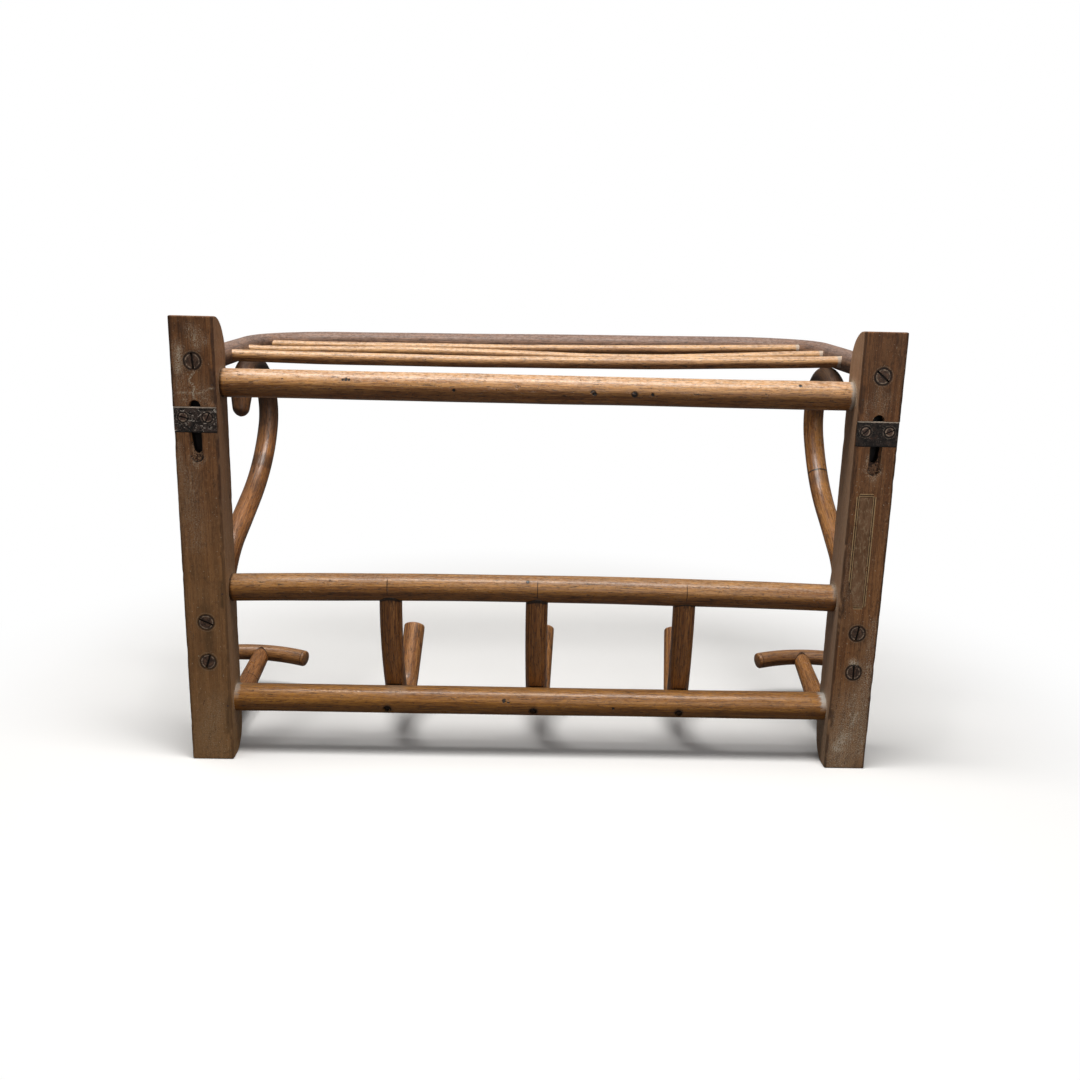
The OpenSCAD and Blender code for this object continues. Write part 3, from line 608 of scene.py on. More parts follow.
def spindle(name, reach, dia, seed, level=SHELF, twist=0.0117, sag=4.0, wave=0.0):
    past = max(0.0, reach - dia / 2 - (LOOP_FRONT - LOOP_BEND))
    half = LOOP_X - LOOP_BEND + sqrt((LOOP_BEND - LOOP_R) ** 2 - past ** 2) + 5
    xs = np.linspace(-half, half, 190)
    f = xs / half
    height = (level - twist * xs - sag * (1 - f ** 2)
              + wave * np.sin(xs * pi / 290) * (1 - f ** 4))
    pts = np.c_[xs, -reach + 1.2 * np.sin(xs / 97 + seed) * (1 - f ** 2), height]
    ways = np.gradient(pts, axis=0)
    ways /= norms(ways)[:, None]
    obj = sweep("wood_" + name, pts, ways, (0, 1, 0), dia / 2, 28, seed, 0.22, (0.6, 0.6))
    add(obj, spindle_wood, name)


spindle("rear_spindle", 110.0, 12.5, 21)
spindle("middle_spindle", 182.5, 11.0, 22, wave=2.6)
spindle("front_spindle", 255.0, 11.0, 23, 409.6, 0.0145, 3.0)

# ---- scroll brackets
BR_D, BR_LOW, BR_PIVOT = 51.0, 68.0, 128.0   # reach and lower end of the straight run, pivot
SCROLL = [(69.0, -60), (59.0,), (188.0, 30), (2.0,)]
CURL_R = 50.0
# reach of the curl's crown, and its height over the straight run's upper end
CROWN_D, RISE = chain((BR_D, 0.0), 90, SCROLL + [(CURL_R, 120)])[0][-1]
SEAT = LOOP_R + ROD_R - 1.2     # between the axes of the crown and the shelf loop
STEM_BEND, STEM_RUN, STEM_TURN = 45.0, 92.0, 103.0
OLD_TURN = {1: STEM_TURN, -1: 106.0}         # the left stem of the old rack is turned further
BAR_R, BAR_BEND, BAR_CHORD = 9.2, 190.0, 106.0
SET = {1: (3.4, 1.6, 2.0), -1: (1.2, 0.6, 0.0)}     # toe, lean and offset of the brackets


def placed(side, pts, aims):
    toe, lean, offset = SET[side]
    return turned(pts, aims, (BR_D, BR_PIVOT), -side * lean, -side * toe, side * (POST_X - offset))


def stem(turn):
    return chain((BR_D, BR_LOW), 270, [(STEM_BEND, turn), (STEM_RUN,)])


def stem_end(side, turn):
    """The end of the stem's axis, its direction and the crossbar's direction there."""
    pts, aims = stem(turn)
    P, T, B = placed(side, pts[-1:], aims[-1:])
    return P[0], T[0], B


def bar_path(side):
    """Points, directions, axis and centre of a crossbar's bend."""
    e, t, b = stem_end(side, OLD_TURN[side])
    half = asin(BAR_CHORD / 2 / BAR_BEND) + 1.0 / BAR_BEND
    a = np.linspace(-half, half, 62)[:, None]
    centre = e - BAR_BEND * t
    return (centre + BAR_BEND * (np.cos(a) * t + np.sin(a) * b),
            np.cos(a) * b - np.sin(a) * t, np.cross(b, t), centre)


def clear_of_post(co):
    co[:, 1] = np.minimum(co[:, 1], -POST_D)
    return co


def clear_of_loop(side):
    def fix(co):
        near = ((np.abs(co[:, 2] - SHELF) < 30) & (-co[:, 1] < 195) & (-co[:, 1] > 60)
                & (side * co[:, 0] > 290))
        return push_out(co, 0, side * LOOP_X, SHELF - TWIST * side * LOOP_X, LOOP_R + CLEAR, near)
    return fix


def clear_of_bar(side):
    """Brings the stem's points back along the stem to the crossbar's surface."""
    _, _, axis, centre = bar_path(side)
    gap = BAR_R + CLEAR

    def fix(co):
        v = co - centre
        z = v @ axis
        flat = v - z[:, None] * axis
        rad = norms(flat)
        ring = centre + flat / np.maximum(rad, 1e-6)[:, None] * BAR_BEND
        near = (norms(co - ring) < gap) & (rad > 60)
        want = BAR_BEND - np.sqrt(np.maximum(0, gap ** 2 - z[near] ** 2))
        co[near] += (want - rad[near])[:, None] * flat[near] / rad[near][:, None]
        return co
    return fix


def bracket(side, name, curl, tip, bow, crown_in, material, seed):
    """One rod from the curl under the shelf to the stem of the T hook; bow is the inward
    set that the old wood has taken between the post and the shelf."""
    toe, lean, offset = SET[side]
    shift = ((CROWN_D - BR_D) * tan(radians(toe))
             + (SHELF - SEAT - BR_PIVOT) * tan(radians(lean)) + offset)
    crown = SHELF - sqrt(SEAT ** 2 - shift ** 2)
    steps = [(crown - RISE - BR_LOW,), *SCROLL, (CURL_R, curl), (tip - 4.0,)] + [(0.8,)] * 11
    up, up_aims = chain((BR_D, BR_LOW), 90, steps)
    down, down_aims = stem(OLD_TURN[side])
    blunt = 8.0                 # length of the tip's rounding

    def radius(s, length):
        """The stem tapers to its end, the curl to its tip."""
        if s < STEM_RUN:
            return 9.1 + 2.1 * s / STEM_RUN
        left = length - s
        r = 7.6 + 3.4 * min(1.0, left / (tip + 9.0))
        if left < blunt:
            r *= sqrt(max(0.03, 1 - (1 - left / blunt) ** 2))
        return r

    P, T, B = placed(side, np.vstack([down[::-1], up[1:]]),
                     np.r_[down_aims[::-1] + pi, up_aims[1:]])
    share = np.clip((P[:, 2] - BR_PIVOT) / (crown - BR_PIVOT), 0, 1)
    P[:, 2] -= TWIST * P[:, 0] * share
    P[:, 0] -= side * (bow * np.sin(pi * share ** 1.36) + crown_in * share ** 8)
    obj = sweep("wood_" + name, P, T, B, radius, 40, seed, 0.2,
                fixes=(clear_of_post, clear_of_loop(side), clear_of_bar(side)))
    add(obj, material, name)


hoops, bar_wood = {}, {}        # the seams round the crossbars, and the crossbars' wood
for side, name in ((1, "right"), (-1, "left")):
    pts, ways, axis, centre = bar_path(side)
    hoops[side] = ((centre - (0, 0, HUNG), axis, BAR_BEND, BAR_R, 2.2),)
    bar_wood[side] = rod_wood(
        "crossbar_" + name, (190, 134, 78), (142, 92, 48), (62, 35, 16), 9.0 + side, 0.34, 0.16,
        0.5, 0.75, under=0.7, residue_and_shade=((3.5, 0.5, SOOT_AND_SHADE, 0.8, 0), (105, 0.5, SOOT_AND_SHADE, 0.8, 0)))
# brackets: darker towards the curl, near-black painted shade on the crown under the shelf loop (run
# 592 on the right, 602 on the left), and thin dark rings
right_wood = rod_wood(
    "right_bracket", (180, 121, 68), (137, 85, 42), (61, 32, 15), 6.0, 0.3, 0.06, 0.6, 0.75,
    under=0.5, seams=hoops[1],
    residue_and_shade=((650, 190, SOOT_AND_SHADE, 0.5, 0), (535, 72, SOOT_AND_SHADE, 0.55, 0), (592, 45, SOOT_AND_SHADE, 0.85, 0),
             (445, 12, SOOT_AND_SHADE, 0.5, 0), (59, 0.6, SOOT_AND_SHADE, 0.8, 0)))
left_wood = rod_wood(
    "left_bracket", (195, 135, 74), (148, 94, 48), (68, 36, 15), 7.0, 0.26, 0.06, 0.5, 0.7,
    under=0.5, seams=hoops[-1],
    residue_and_shade=((620, 130, SOOT_AND_SHADE, 0.6, 0), (602, 40, SOOT_AND_SHADE, 0.7, 0), (449, 1.4, SOOT_AND_SHADE, 0.95, 0),
             (438, 12, SOOT_AND_SHADE, 0.22, 0)))
bracket(1, "right_bracket", 188, 15, 6.6, 0.0, right_wood, 31)
bracket(-1, "left_bracket", 165, 5, 0.5, 3.5, left_wood, 32)

bar_moved = {}
for side, name, seed in ((1, "right_crossbar", 41), (-1, "left_crossbar", 42)):
    pts, ways, axis, centre = bar_path(side)
    bar_moved[side] = Vector((stem_end(side, OLD_TURN[side])[0]
                              - stem_end(side, STEM_TURN)[0]) / 1000)
    obj = sweep("wood_" + name, pts, ways, axis, BAR_R, 36, seed, 0.18, (1.8, 1.8))
    pierce(obj, [(c + bar_moved[side], way, r) for c, way, r in screw_heads("crossbar_screws")
                 if c.x * side > 0])
    add(obj, bar_wood[side], name)

# ---- J hooks
HOOK_TOP = MIDDLE[0] - 3.5
HOOK_R, HOOK_BEND, HOOK_RUN = 11.5, 240.0, 59.0
seat = LOWER[2] + ROD_R - 2.0
slope = radians(24)
hook_d = LOWER[1] + seat * cos(slope) - HOOK_BEND * (1 - cos(slope))
bend_top = LOWER[0] + seat * sin(slope) + HOOK_BEND * sin(slope)
for name, x, seed in HOOKS:
    pts, aims = chain((hook_d, HOOK_TOP), 270, [(HOOK_TOP - bend_top,), (HOOK_BEND, 24), (9.0,),
                                                (42.0, 116), (HOOK_RUN,)])
    P, T, B = turned(pts, aims, (hook_d, 100.0), 0, -5.0, x)
    obj = sweep("wood_" + name, P, T, B,
                lambda s, length: HOOK_R + 0.2 * max(0.0, (s - length + HOOK_RUN) / HOOK_RUN),
                40, seed, 0.16, (0, 1.8), (clear_of_rail(MIDDLE, BOW), clear_of_rail(LOWER)))
    add(obj, hook_wood, name)


# ---- posts
def front_depth(h):
    """Depth of a post at a height: its front corners are rounded off above and below."""
    if h < FOOT_ROUND:
        return POST_D - FOOT_ROUND + sqrt(max(0.0, FOOT_ROUND ** 2 - (FOOT_ROUND - h) ** 2))
    over = h - POST_H + HEAD_ROUND
    if over > 0:
        return POST_D - HEAD_ROUND + sqrt(max(0.0, HEAD_ROUND ** 2 - over ** 2))
    return POST_D


def smooth_noise(rng, count, step):
    knots = rng.uniform(-1, 1, int(count / step) + 3)
    x = np.arange(count) / step
    i = x.astype(int)
    f = x - i
    f = f * f * (3 - 2 * f)
    return knots[i] * (1 - f) + knots[i + 1] * f


def post_blank(name, side, seed):
    """A dense post with worn edges."""
    rng = np.random.default_rng(seed)
    foot, head, end_round = FOOT_ROUND, POST_H - HEAD_ROUND, 1.3
    heights = [foot * (1 - cos(radians(t))) for t in range(0, 91, 6)]
    heights += [head + HEAD_ROUND * sin(radians(t)) for t in range(0, 91, 5)]
    heights += list(np.arange(foot, head, 1.6))
    for h in (0.3, 0.8, 1.5):
        heights += [h, POST_H - h]
    heights = np.array(sorted(set(round(h, 3) for h in heights)))
    n = len(heights)
    wear = []                   # rounding radius of the four long edges
    for _ in range(4):
        w = 1.3 + 0.5 * smooth_noise(rng, n, 14) + 0.35 * smooth_noise(rng, n, 3)
        for _ in range(7):
            c, size, deep = rng.uniform(0, n), rng.uniform(1.2, 4.0), rng.uniform(0.5, 1.8)
            w += deep * np.exp(-((np.arange(n) - c) / size) ** 2)
        wear.append(np.clip(w, 0.7, 3.4))
    verts = []
    for i, h in enumerate(heights):
        end = min(h, POST_H - h, end_round)
        inset = end_round - sqrt(max(0.0, end_round ** 2 - (end_round - end) ** 2))
        lo, hi = inset - POST_W / 2, POST_W / 2 - inset
        wall, far = inset * 0.6, max(front_depth(h) - inset, 2.8)
        r = [min(w[i], 0.45 * (far - wall)) for w in wear]
        ring = []

        def face(ax, ay, bx, by, count):
            for t in np.linspace(0, 1, count):
                ring.append((ax + (bx - ax) * t, ay + (by - ay) * t))

        def corner(cx, cy, radius, start):
            for t in (22.5, 45, 67.5):
                a = radians(start + t)
                ring.append((cx + radius * cos(a), cy + radius * sin(a)))

        face(lo + r[0], wall, hi - r[1], wall, 30)
        corner(hi - r[1], wall + r[1], r[1], -90)
        face(hi, wall + r[1], hi, far - r[2], 18)
        corner(hi - r[2], far - r[2], r[2], 0)
        face(hi - r[2], far, lo + r[3], far, 18)
        corner(lo + r[3], far - r[3], r[3], 90)
        face(lo, far - r[3], lo, wall + r[0], 18)
        corner(lo + r[0], wall + r[0], r[0], 180)
        verts += [(side * (POST_X - u) / 1000, -v / 1000, z_at(h)) for u, v in ring]
    count = len(ring)
    faces = skin(n, count)
    faces.append(tuple(range(count))[::-1])
    faces.append(tuple((n - 1) * count + j for j in range(count)))
    mesh = bpy.data.meshes.new(name)
    mesh.from_pydata(verts, [], faces)
    outward(mesh)
    return link(name, mesh)


def screw_spots(side):
    """x, height and hole radius of the large screws in a post."""
    radius = LARGE_HEAD + 0.2
    return [(side * LOOP_X, SHELF, radius)] + [(side * POST_X, h, radius) for h in BRACKET_SCREWS]


def post(name, side, seed):
    obj = post_blank("wood_" + name, side, seed)
    x = side * POST_X / 1000
    high = z_at(SLOT_TOP - SLOT_R)
    over = 0.001                # the cutters stand so far out of the wall side

    def holes(bm):
        for sx, h, r in screw_spots(side):
            prism(bm, disc(sx / 1000, z_at(h), r / 1000), over, -0.006)
        for size in (TOP, MIDDLE, LOWER):
            prism(bm, disc(side * PIN_X / 1000, z_at(size[0]), PIN_R / 1000, 16), over, -0.004)
        x0, x1, low, top = x - 0.03, x + 0.03, -0.0003, PLATE_H / 1000 + 0.0003
        prism(bm, [(x0, low), (x1, low), (x1, top), (x0, top)], over, -PLATE_T / 1000)

    def slot(bm):
        r, low = SLOT_R / 1000, z_at(SLOT_END)
        rng = np.random.default_rng(seed + 5)
        outline = [(x + r * cos(a), high + r * sin(a))
                   for a in (pi * i / 40 for i in range(41))]
        for i in range(41):
            a = pi + pi * i / 40
            rag = 1 + 0.14 * rng.uniform(-1, 1)
            outline.append((x + r * rag * cos(a), low + r * rag * sin(a)))
        prism(bm, outline, over, -SLOT_SHALLOW / 1000)

    def deep_slot(bm):
        r = 0.0055
        low = z_at(SLOT_TOP - SLOT_LENGTH + (11 if side > 0 else 14.5))
        rng = np.random.default_rng(seed + 6)
        waist = low + 0.018

        def edge(way, shares):
            return [(x + way * r * (1 - 0.3 * f ** 1.5) * (1 + 0.05 * rng.uniform(-1, 1)),
                     waist + (low - waist) * f) for f in shares]

        outline = [(x + r * cos(a), high + r * sin(a))
                   for a in (pi * i / 24 for i in range(25))]
        outline += edge(-1, np.linspace(0.1, 0.9, 7))
        outline += [(x + 0.68 * r * cos(a),
                     low + 0.6 * r * sin(a) + rng.uniform(-5e-4, 5e-4))
                    for a in (pi + pi * i / 10 for i in range(11))]
        outline += edge(1, np.linspace(0.9, 0.1, 7))
        prism(bm, outline, over + 0.0002, -SLOT_DEEP / 1000)

    carve(obj, solid("holes", holes), solid("slot", slot), solid("deep_slot", deep_slot))
    mesh = obj.data
    co = np.empty(len(mesh.vertices) * 3)
    mesh.vertices.foreach_get("co", co)
    co = co.reshape(-1, 3) * 1000
    marks = paint(co, side)
    if side < 0:                # bed of the label
        level = (LABEL_LOW + LABEL_HIGH) / 2 - HUNG
        bed = ((np.abs(co[:, 0] - LABEL_X) < LABEL_HALF + 0.15) & (co[:, 1] > -0.01)
               & (np.abs(co[:, 2] - level) < (LABEL_HIGH - LABEL_LOW) / 2 + 0.2))
        co[bed, 1] -= 0.2
        mesh.vertices.foreach_set("co", (co / 1000).ravel())
    store(mesh, "marks", marks)
    mesh.shade_smooth()
    mesh.set_sharp_from_angle(angle=radians(42))
    add(obj, post_wood("wood_" + name, side, seed), name)


# Marks on the wall faces of the right (1) and left (-1) post: pale scuffs, dark stains and
# chalk. Each row is strength, width and the points u, height of a broken line, in mm, where u
# runs from the middle of the post towards the rails.
MARKS = {
    1: (((0.9, 5, -2, 440, 6, 424), (0.8, 4, 4, 438, 13, 428), (0.7, 6, -14, 424, -11, 396),
         (0.5, 8, -12, 388, -8, 372), (0.6, 9, 6, 380, 14, 372),
         (0.9, 4, -5, 316, 0, 309, 5, 316), (0.45, 10, -10, 300, -6, 230),
         (0.4, 12, 5, 60, -4, 20), (0.7, 2.5, 8, 50, 9, 44), (0.5, 3, -17, 330, -16, 300),
         (0.4, 16, 0, 12)),
        ((0.8, 7, 0, 162, 1, 118), (0.9, 9, 0, 107), (0.9, 10, 0, 149), (0.6, 10, -4, 409),
         (0.8, 2.5, 17.5, 400, 17.5, 372), (0.9, 2.5, 17.5, 192, 16.5, 166),
         (0.9, 2.2, 17.5, 66, 16.5, 30), (0.5, 14, -20, 450, -14, 440)),
        ((0.95, 0.75, 1, 399, -3, 393, -4, 390, 0, 386, 1, 383, -1, 380, 0, 374),
         (0.7, 0.6, -18, 378, -6, 379.5, 3, 378, 9, 380, 14, 383, 20, 384),
         (0.7, 3, -12, 420, -14, 400))),
    -1: (((0.7, 6, 2, 394, 5, 382), (0.6, 5, -6, 390, -3, 376),
          (1.0, 3.5, -5, 316, 0, 309, 5, 315), (0.8, 3, 6, 330, 9, 318),
          (0.6, 3, 12, 366, 14, 384), (0.95, 17, -6, 70, 0, 30, 6, 10),
          (1.0, 10, -16, 110, -13, 60, -14, 20), (0.6, 6, -17, 160, -15, 110),
          (0.35, 8, 14, 240, 16, 190)),
         ((0.7, 10, -4, 409), (0.3, 22, -6, 440, 0, 400), (0.9, 9, 0, 149), (0.9, 9, 0, 107),
          (0.8, 2.2, 17.5, 398, 17.5, 374), (0.8, 2.2, 17.5, 186, 17, 168),
          (0.8, 2.0, 17.5, 64, 17.5, 48), (0.6, 3, 14, 260, 13, 190)),
         ((1.0, 3.2, -1, 116, 2, 118), (0.8, 2.2, 4, 22, 10, 20, 13, 26),
          (0.6, 1.6, -3, 48, -8, 62), (0.6, 5, 2, 36, 10, 24))),
}


def near_line(u, h, line):
    """Distance of every vertex to a broken line, in mm."""
    pts = np.reshape(line, (-1, 2)).astype(float)
    best = np.hypot(u - pts[0, 0], h - pts[0, 1])
    for a, b in zip(pts[:-1], pts[1:]):
        d = b - a
        t = np.clip(((u - a[0]) * d[0] + (h - a[1]) * d[1]) / max(1e-9, d @ d), 0, 1)
        best = np.minimum(best, np.hypot(u - a[0] - t * d[0], h - a[1] - t * d[1]))
    return best


def paint(co, side):
    """Pale, dark and chalk amounts of each vertex of a post."""
    u, d, h = POST_X - side * co[:, 0], -co[:, 1], co[:, 2] + HUNG
    marks = np.zeros((3, len(co)))
    dark, chalk = marks[1:]
    back = np.clip(1 - (d - 0.2) / 1.2, 0, 1)
    for channel, rows in zip(marks, MARKS[side]):
        for strength, width, *line in rows:
            amount = strength * np.exp(-(near_line(u, h, line) / width) ** 2) * back
            np.maximum(channel, amount, out=channel)
    for x, level, radius in screw_spots(side):
        dist = np.hypot(co[:, 0] - x, h - level)
        np.maximum(dark, 1.2 * np.exp(-((dist - radius - 0.5) / 1.3) ** 2), out=dark)
    crusts = (0.3, 0.3, 0.6) if side > 0 else (1.0, 0.9, 1.0)
    for (level, reach, radius), amount in zip((TOP, MIDDLE, LOWER), crusts):
        dist = np.hypot(d - reach, h - level)
        ring = amount * np.exp(-np.maximum(0, dist - radius - 1.0) / 2.2)
        np.maximum(chalk, ring * (u > 20) * (h > level - 8), out=chalk)
    return marks.T


def post_wood(name, side, seed):
    """Stained, handled wood with the marks that paint() stores."""
    def pick(right, left):
        return right if side > 0 else left

    m = Mat(name)
    p = m.pos()
    x, y, z = m.xyz(p)
    pale, dark, chalk = m.xyz(m.attribute("marks"))
    g = m.mapped(p, shift=(seed * 0.31, seed * 0.17, seed * 0.43))
    grain = m.noise(g, (210, 210, 7), 5, 0.62, 0.5)
    fine = m.noise(g, (1100, 1100, 30), 3, 0.6)
    broad = m.noise(g, (34, 34, 12), 5, 0.62, 0.7)
    blotch = m.noise(g, (110, 110, 70), 6, 0.7, 0.6)
    grit = m.noise(g, (900, 900, 900), 3, 0.65)
    pores = m.noise(g, (1200, 1200, 110), 2, 0.5)
    mottle = m.noise(g, (330, 330, 240), 5, 0.72, 0.4, (4.0, 9.0, 2.0))
    hair = m.noise(g, (520, 520, 90), 5, 0.75, 1.6, (2.0, 1.0, 0.3))
    hair2 = m.noise(g, (160, 160, 520), 5, 0.75, 1.8, (5.0, 3.0, 1.3))
    few = m.noise(g, (620, 620, 480), 2, 0.6, 0.0, (9.0, 4.0, 2.0))
    scars = m.noise(g, (330, 330, 60), 4, 0.7, 1.0, (1.7, 8.0, 5.0))
    crumb = m.noise(g, (640, 640, 560), 4, 0.7, 0.6, (7.0, 3.0, 1.0))
    # broad tones
    m.base = m.mix(m.ramp(grain, 0.4, 0.6), (122, 77, 42), (152, 102, 60))
    m.tint(broad, 0.4, 0.68, 0.75, (142, 102, 68))
    m.tint(blotch, 0.52, 0.72, 0.65, (88, 52, 28))
    m.tint(fine, 0.46, 0.66, 0.6, (66, 40, 22))
    m.tint(pores, 0.62, 0.72, 0.6, (44, 26, 15))
    m.tint(mottle, 0.54, 0.66, 0.5, (58, 34, 19))
    m.tint(mottle, 0.42, 0.32, 0.5, (172, 128, 88))
    # the faces beside the rails are greyer, with dust in the grain
    m.tint(abs(m.xyz(m.normal())[0]), 0.6, 0.9, pick(0.5, 0.75),
           pick((150, 116, 88), (184, 150, 122)))
    # scratches, paler and spotted foot, scuffs, scars, stains and chalk
    m.tint(abs(hair - 0.5), 0.012, 0.004, 0.3, (196, 160, 120))
    m.tint(abs(grain - 0.47), 0.012, 0.003, 0.45, (52, 30, 17))
    m.tint(z, -0.2, -0.34, 0.3, pick((180, 140, 92), (176, 146, 112)))
    m.lay(m.ramp(z, -0.24, -0.34) * m.ramp(mottle, 0.5, 0.62, 0, 0.5), (70, 44, 26))
    scratch = m.math("MAXIMUM", m.ramp(hair, 0.56, 0.66), m.ramp(hair2, 0.6, 0.68))
    scuff = m.math("MULTIPLY", scratch + m.ramp(grit, 0.46, 0.66, 0, 0.8), pale, clamp=True)
    m.lay(scuff * 0.85, (218, 200, 176))
    m.tint(few, 0.69, 0.73, 0.8, (226, 208, 182))
    scar = m.ramp(scars, 0.66, 0.7)
    m.lay(scar * 0.85, (36, 21, 13))
    m.lay(dark * m.ramp(blotch, 0.3, 0.6, 0.55, 1.0) * 0.85, (30, 18, 12))
    crack = m.value("Distance", "TexVoronoi", {"Vector": m.mapped(g, (420, 420, 420)),
                                               "Scale": 1.0}, feature="DISTANCE_TO_EDGE")
    line = m.math("ADD", m.ramp(crack, 0.09, 0.03), m.ramp(grit, 0.45, 0.62), clamp=True)
    m.lay(line * chalk * 0.9, (232, 220, 198))
    # worn long edges: dark ragged line, with bare wood here and there
    u = abs(x - side * POST_X / 1000)
    ragged = (POST_W / 2000 - u) - y + (blotch - 0.5) * 0.006
    edge = m.ramp(ragged, 0.0032, 0.0012)
    m.lay(edge * 0.7, (48, 28, 18))
    m.lay(edge * m.ramp(broad, 0.56, 0.64) * 0.7, (168, 128, 92))
    # darker, more handled upper part
    m.tint(z, -0.14, 0.04, pick(0.7, 1.0), (238, 232, 226), "MULTIPLY")
    if side > 0:
        m.tint(z, -0.04, -0.16, 0.2, (184, 140, 88))
    # each large screw sits in a dark ring, with a broken painted highlight round it on the hole's
    # rim
    wall = m.ramp(y, -0.004, -0.002)
    for sx, level, _ in screw_spots(side):
        gap = m.off_axis(p, (sx, 0, level - HUNG))
        ring = m.ramp(abs(gap - 0.0079), 0.0011, 0.0003) * wall
        # painted highlight on the rim of the hole
        halo = m.ramp(abs(gap - 0.0096), 0.0009, 0.0002, 0, 0.4) * wall
        m.lay(halo * m.ramp(grit, 0.42, 0.56), (176, 146, 116))
        m.lay(ring * m.ramp(mottle, 0.4, 0.6, 0.3, 0.75), (26, 16, 11))
    # crumbs on the slot's shallow floor, its dark lip, and painted shade, near black, in its deep
    # part
    inside = m.ramp(u, 0.0068, 0.0056) * m.ramp(z, 0.04, 0.03)
    shallow = m.ramp(y, -0.0002, -0.0012) * m.ramp(y, -0.009, -0.007)
    shallow = shallow * m.ramp(z, -0.0085, -0.0105) * m.ramp(z, -0.036, -0.03)
    m.lay(shallow * inside, m.mix(m.ramp(crumb, 0.48, 0.58), (58, 36, 22),
                                  pick((178, 140, 108), (142, 104, 74))))
    lip = m.off_axis(p, (side * POST_X, 0, SLOT_END - HUNG))
    lip = m.ramp(abs(lip - 0.0060), 0.0011, 0.0004) * wall * m.ramp(z, -0.0200, -0.0235)
    m.lay(lip * m.ramp(mottle, 0.38, 0.5), (26, 15, 10))
    # painted shade down in the deep slot
    deep = m.ramp(y, -0.0046, -0.008) * m.ramp(y, -0.019, -0.017)
    m.lay(deep * inside, (20, 13, 9))
    rough = m.ramp(blotch, 0.3, 0.8, 0.46, 0.7) + scuff * 0.2
    height = grain * 0.6 + blotch * 0.5 + fine * 0.3 - scar * 0.8
    bump = m.bump(broad, 0.002, 0.25, m.bump(height, 0.00035, 0.8))
    return m.finish(rough, bump, 0.35, 0.06, 0.4)


post("right_post", 1, 3)
post("left_post", -1, 8)


# ---- iron
def old_iron(name, seed, cloud, cloud_rough, grit, detail, grit_rough, warp=0.0):
    """A material with the row's position, a shifted copy of it, and two noises on that."""
    m = Mat("iron_" + name)
    here = m.pos()
    p = m.mapped(here, shift=(seed, seed * 0.3, seed * 0.8))
    return (m, here, p, m.noise(p, (cloud,) * 3, 6, cloud_rough),
            m.noise(p, (grit,) * 3, detail, grit_rough, warp))


def pitted(m, cloud, grit, rough, depth, strength, share=0.5, spec=0.5, metal=0.0):
    """Finishes an old_iron material with its clouded roughness and pitted surface."""
    return m.finish(m.ramp(cloud, 0.3, 0.7, *rough),
                    m.bump(cloud + grit * share, depth, strength), spec, metal=metal)


def screw_gap(m, here, across, levels):
    """Distance from the nearest screw of a post; the screws stand across apart at each level."""
    x, _, z = m.xyz(here)
    x = abs(abs(x) - POST_X / 1000) - across / 2000
    gap = 1.0
    for level in levels:
        gap = m.math("MINIMUM", abs(z - z_at(level)), gap)
    return m.hypot(x, gap)


def iron(name, base, rust, pale, seed, rough, metal):
    m, _, _, cloud, grit = old_iron(name, seed, 160, 0.65, 700, 4, 0.7)
    m.base = m.mix(m.ramp(cloud, 0.42, 0.66), base, rust)
    m.tint(grit, 0.62, 0.7, 0.75, pale)
    return pitted(m, cloud, grit, (rough - 0.1, rough + 0.2), 0.0003, 0.8, metal=metal)


def plate_iron(name, flecks, seed):
    """Hanging plate: near black, rusty, with pale flecks, a bright top edge that is worn and a
    painted highlight, and a painted shadow line along its lower edge.
    """
    m, here, p, cloud, grit = old_iron(name, seed, 150, 0.68, 620, 5, 0.72, 0.6)
    chips = m.noise(p, (260, 260, 380), 5, 0.75, 1.2, (3.0, 1.0, 7.0))
    m.base = m.mix(m.ramp(cloud, 0.4, 0.58), (17, 13, 12),
                   (48 + 22 * flecks, 39 + 18 * flecks, 35 + 16 * flecks))
    m.tint(cloud, 0.58, 0.68, 0.7, (92, 60, 44))
    m.tint(grit, 0.56, 0.66, 0.2 + 0.5 * flecks, (150, 136, 124))
    m.tint(chips, 0.6 - 0.035 * flecks, 0.66 - 0.04 * flecks, flecks, (228, 216, 202))
    ragged, high = m.xyz(here)[2] + (chips - 0.5) * 0.0014, PLATE_H / 1000
    # bright top edge: wear and a painted highlight
    m.tint(ragged, high - 0.0012, high - 0.0006, 0.85, (206, 188, 170))
    # painted shadow line along the lower edge
    m.tint(ragged, 0.0013, 0.0007, 0.85, (16, 12, 11))
    gap = screw_gap(m, here, PLATE_SCREW_GAP, (PLATE_SCREW_H,))
    m.tint(abs(gap - 0.0049), 0.0009, 0.0003, 0.9, (12, 9, 8))
    halo = m.ramp(abs(gap - 0.0062), 0.0006, 0.0002) * m.ramp(grit, 0.4, 0.6)
    m.lay(halo * 0.5, (150, 132, 116))
    return pitted(m, cloud, grit, (0.5, 0.75), 0.00035, 0.9, 0.6, 0.3)


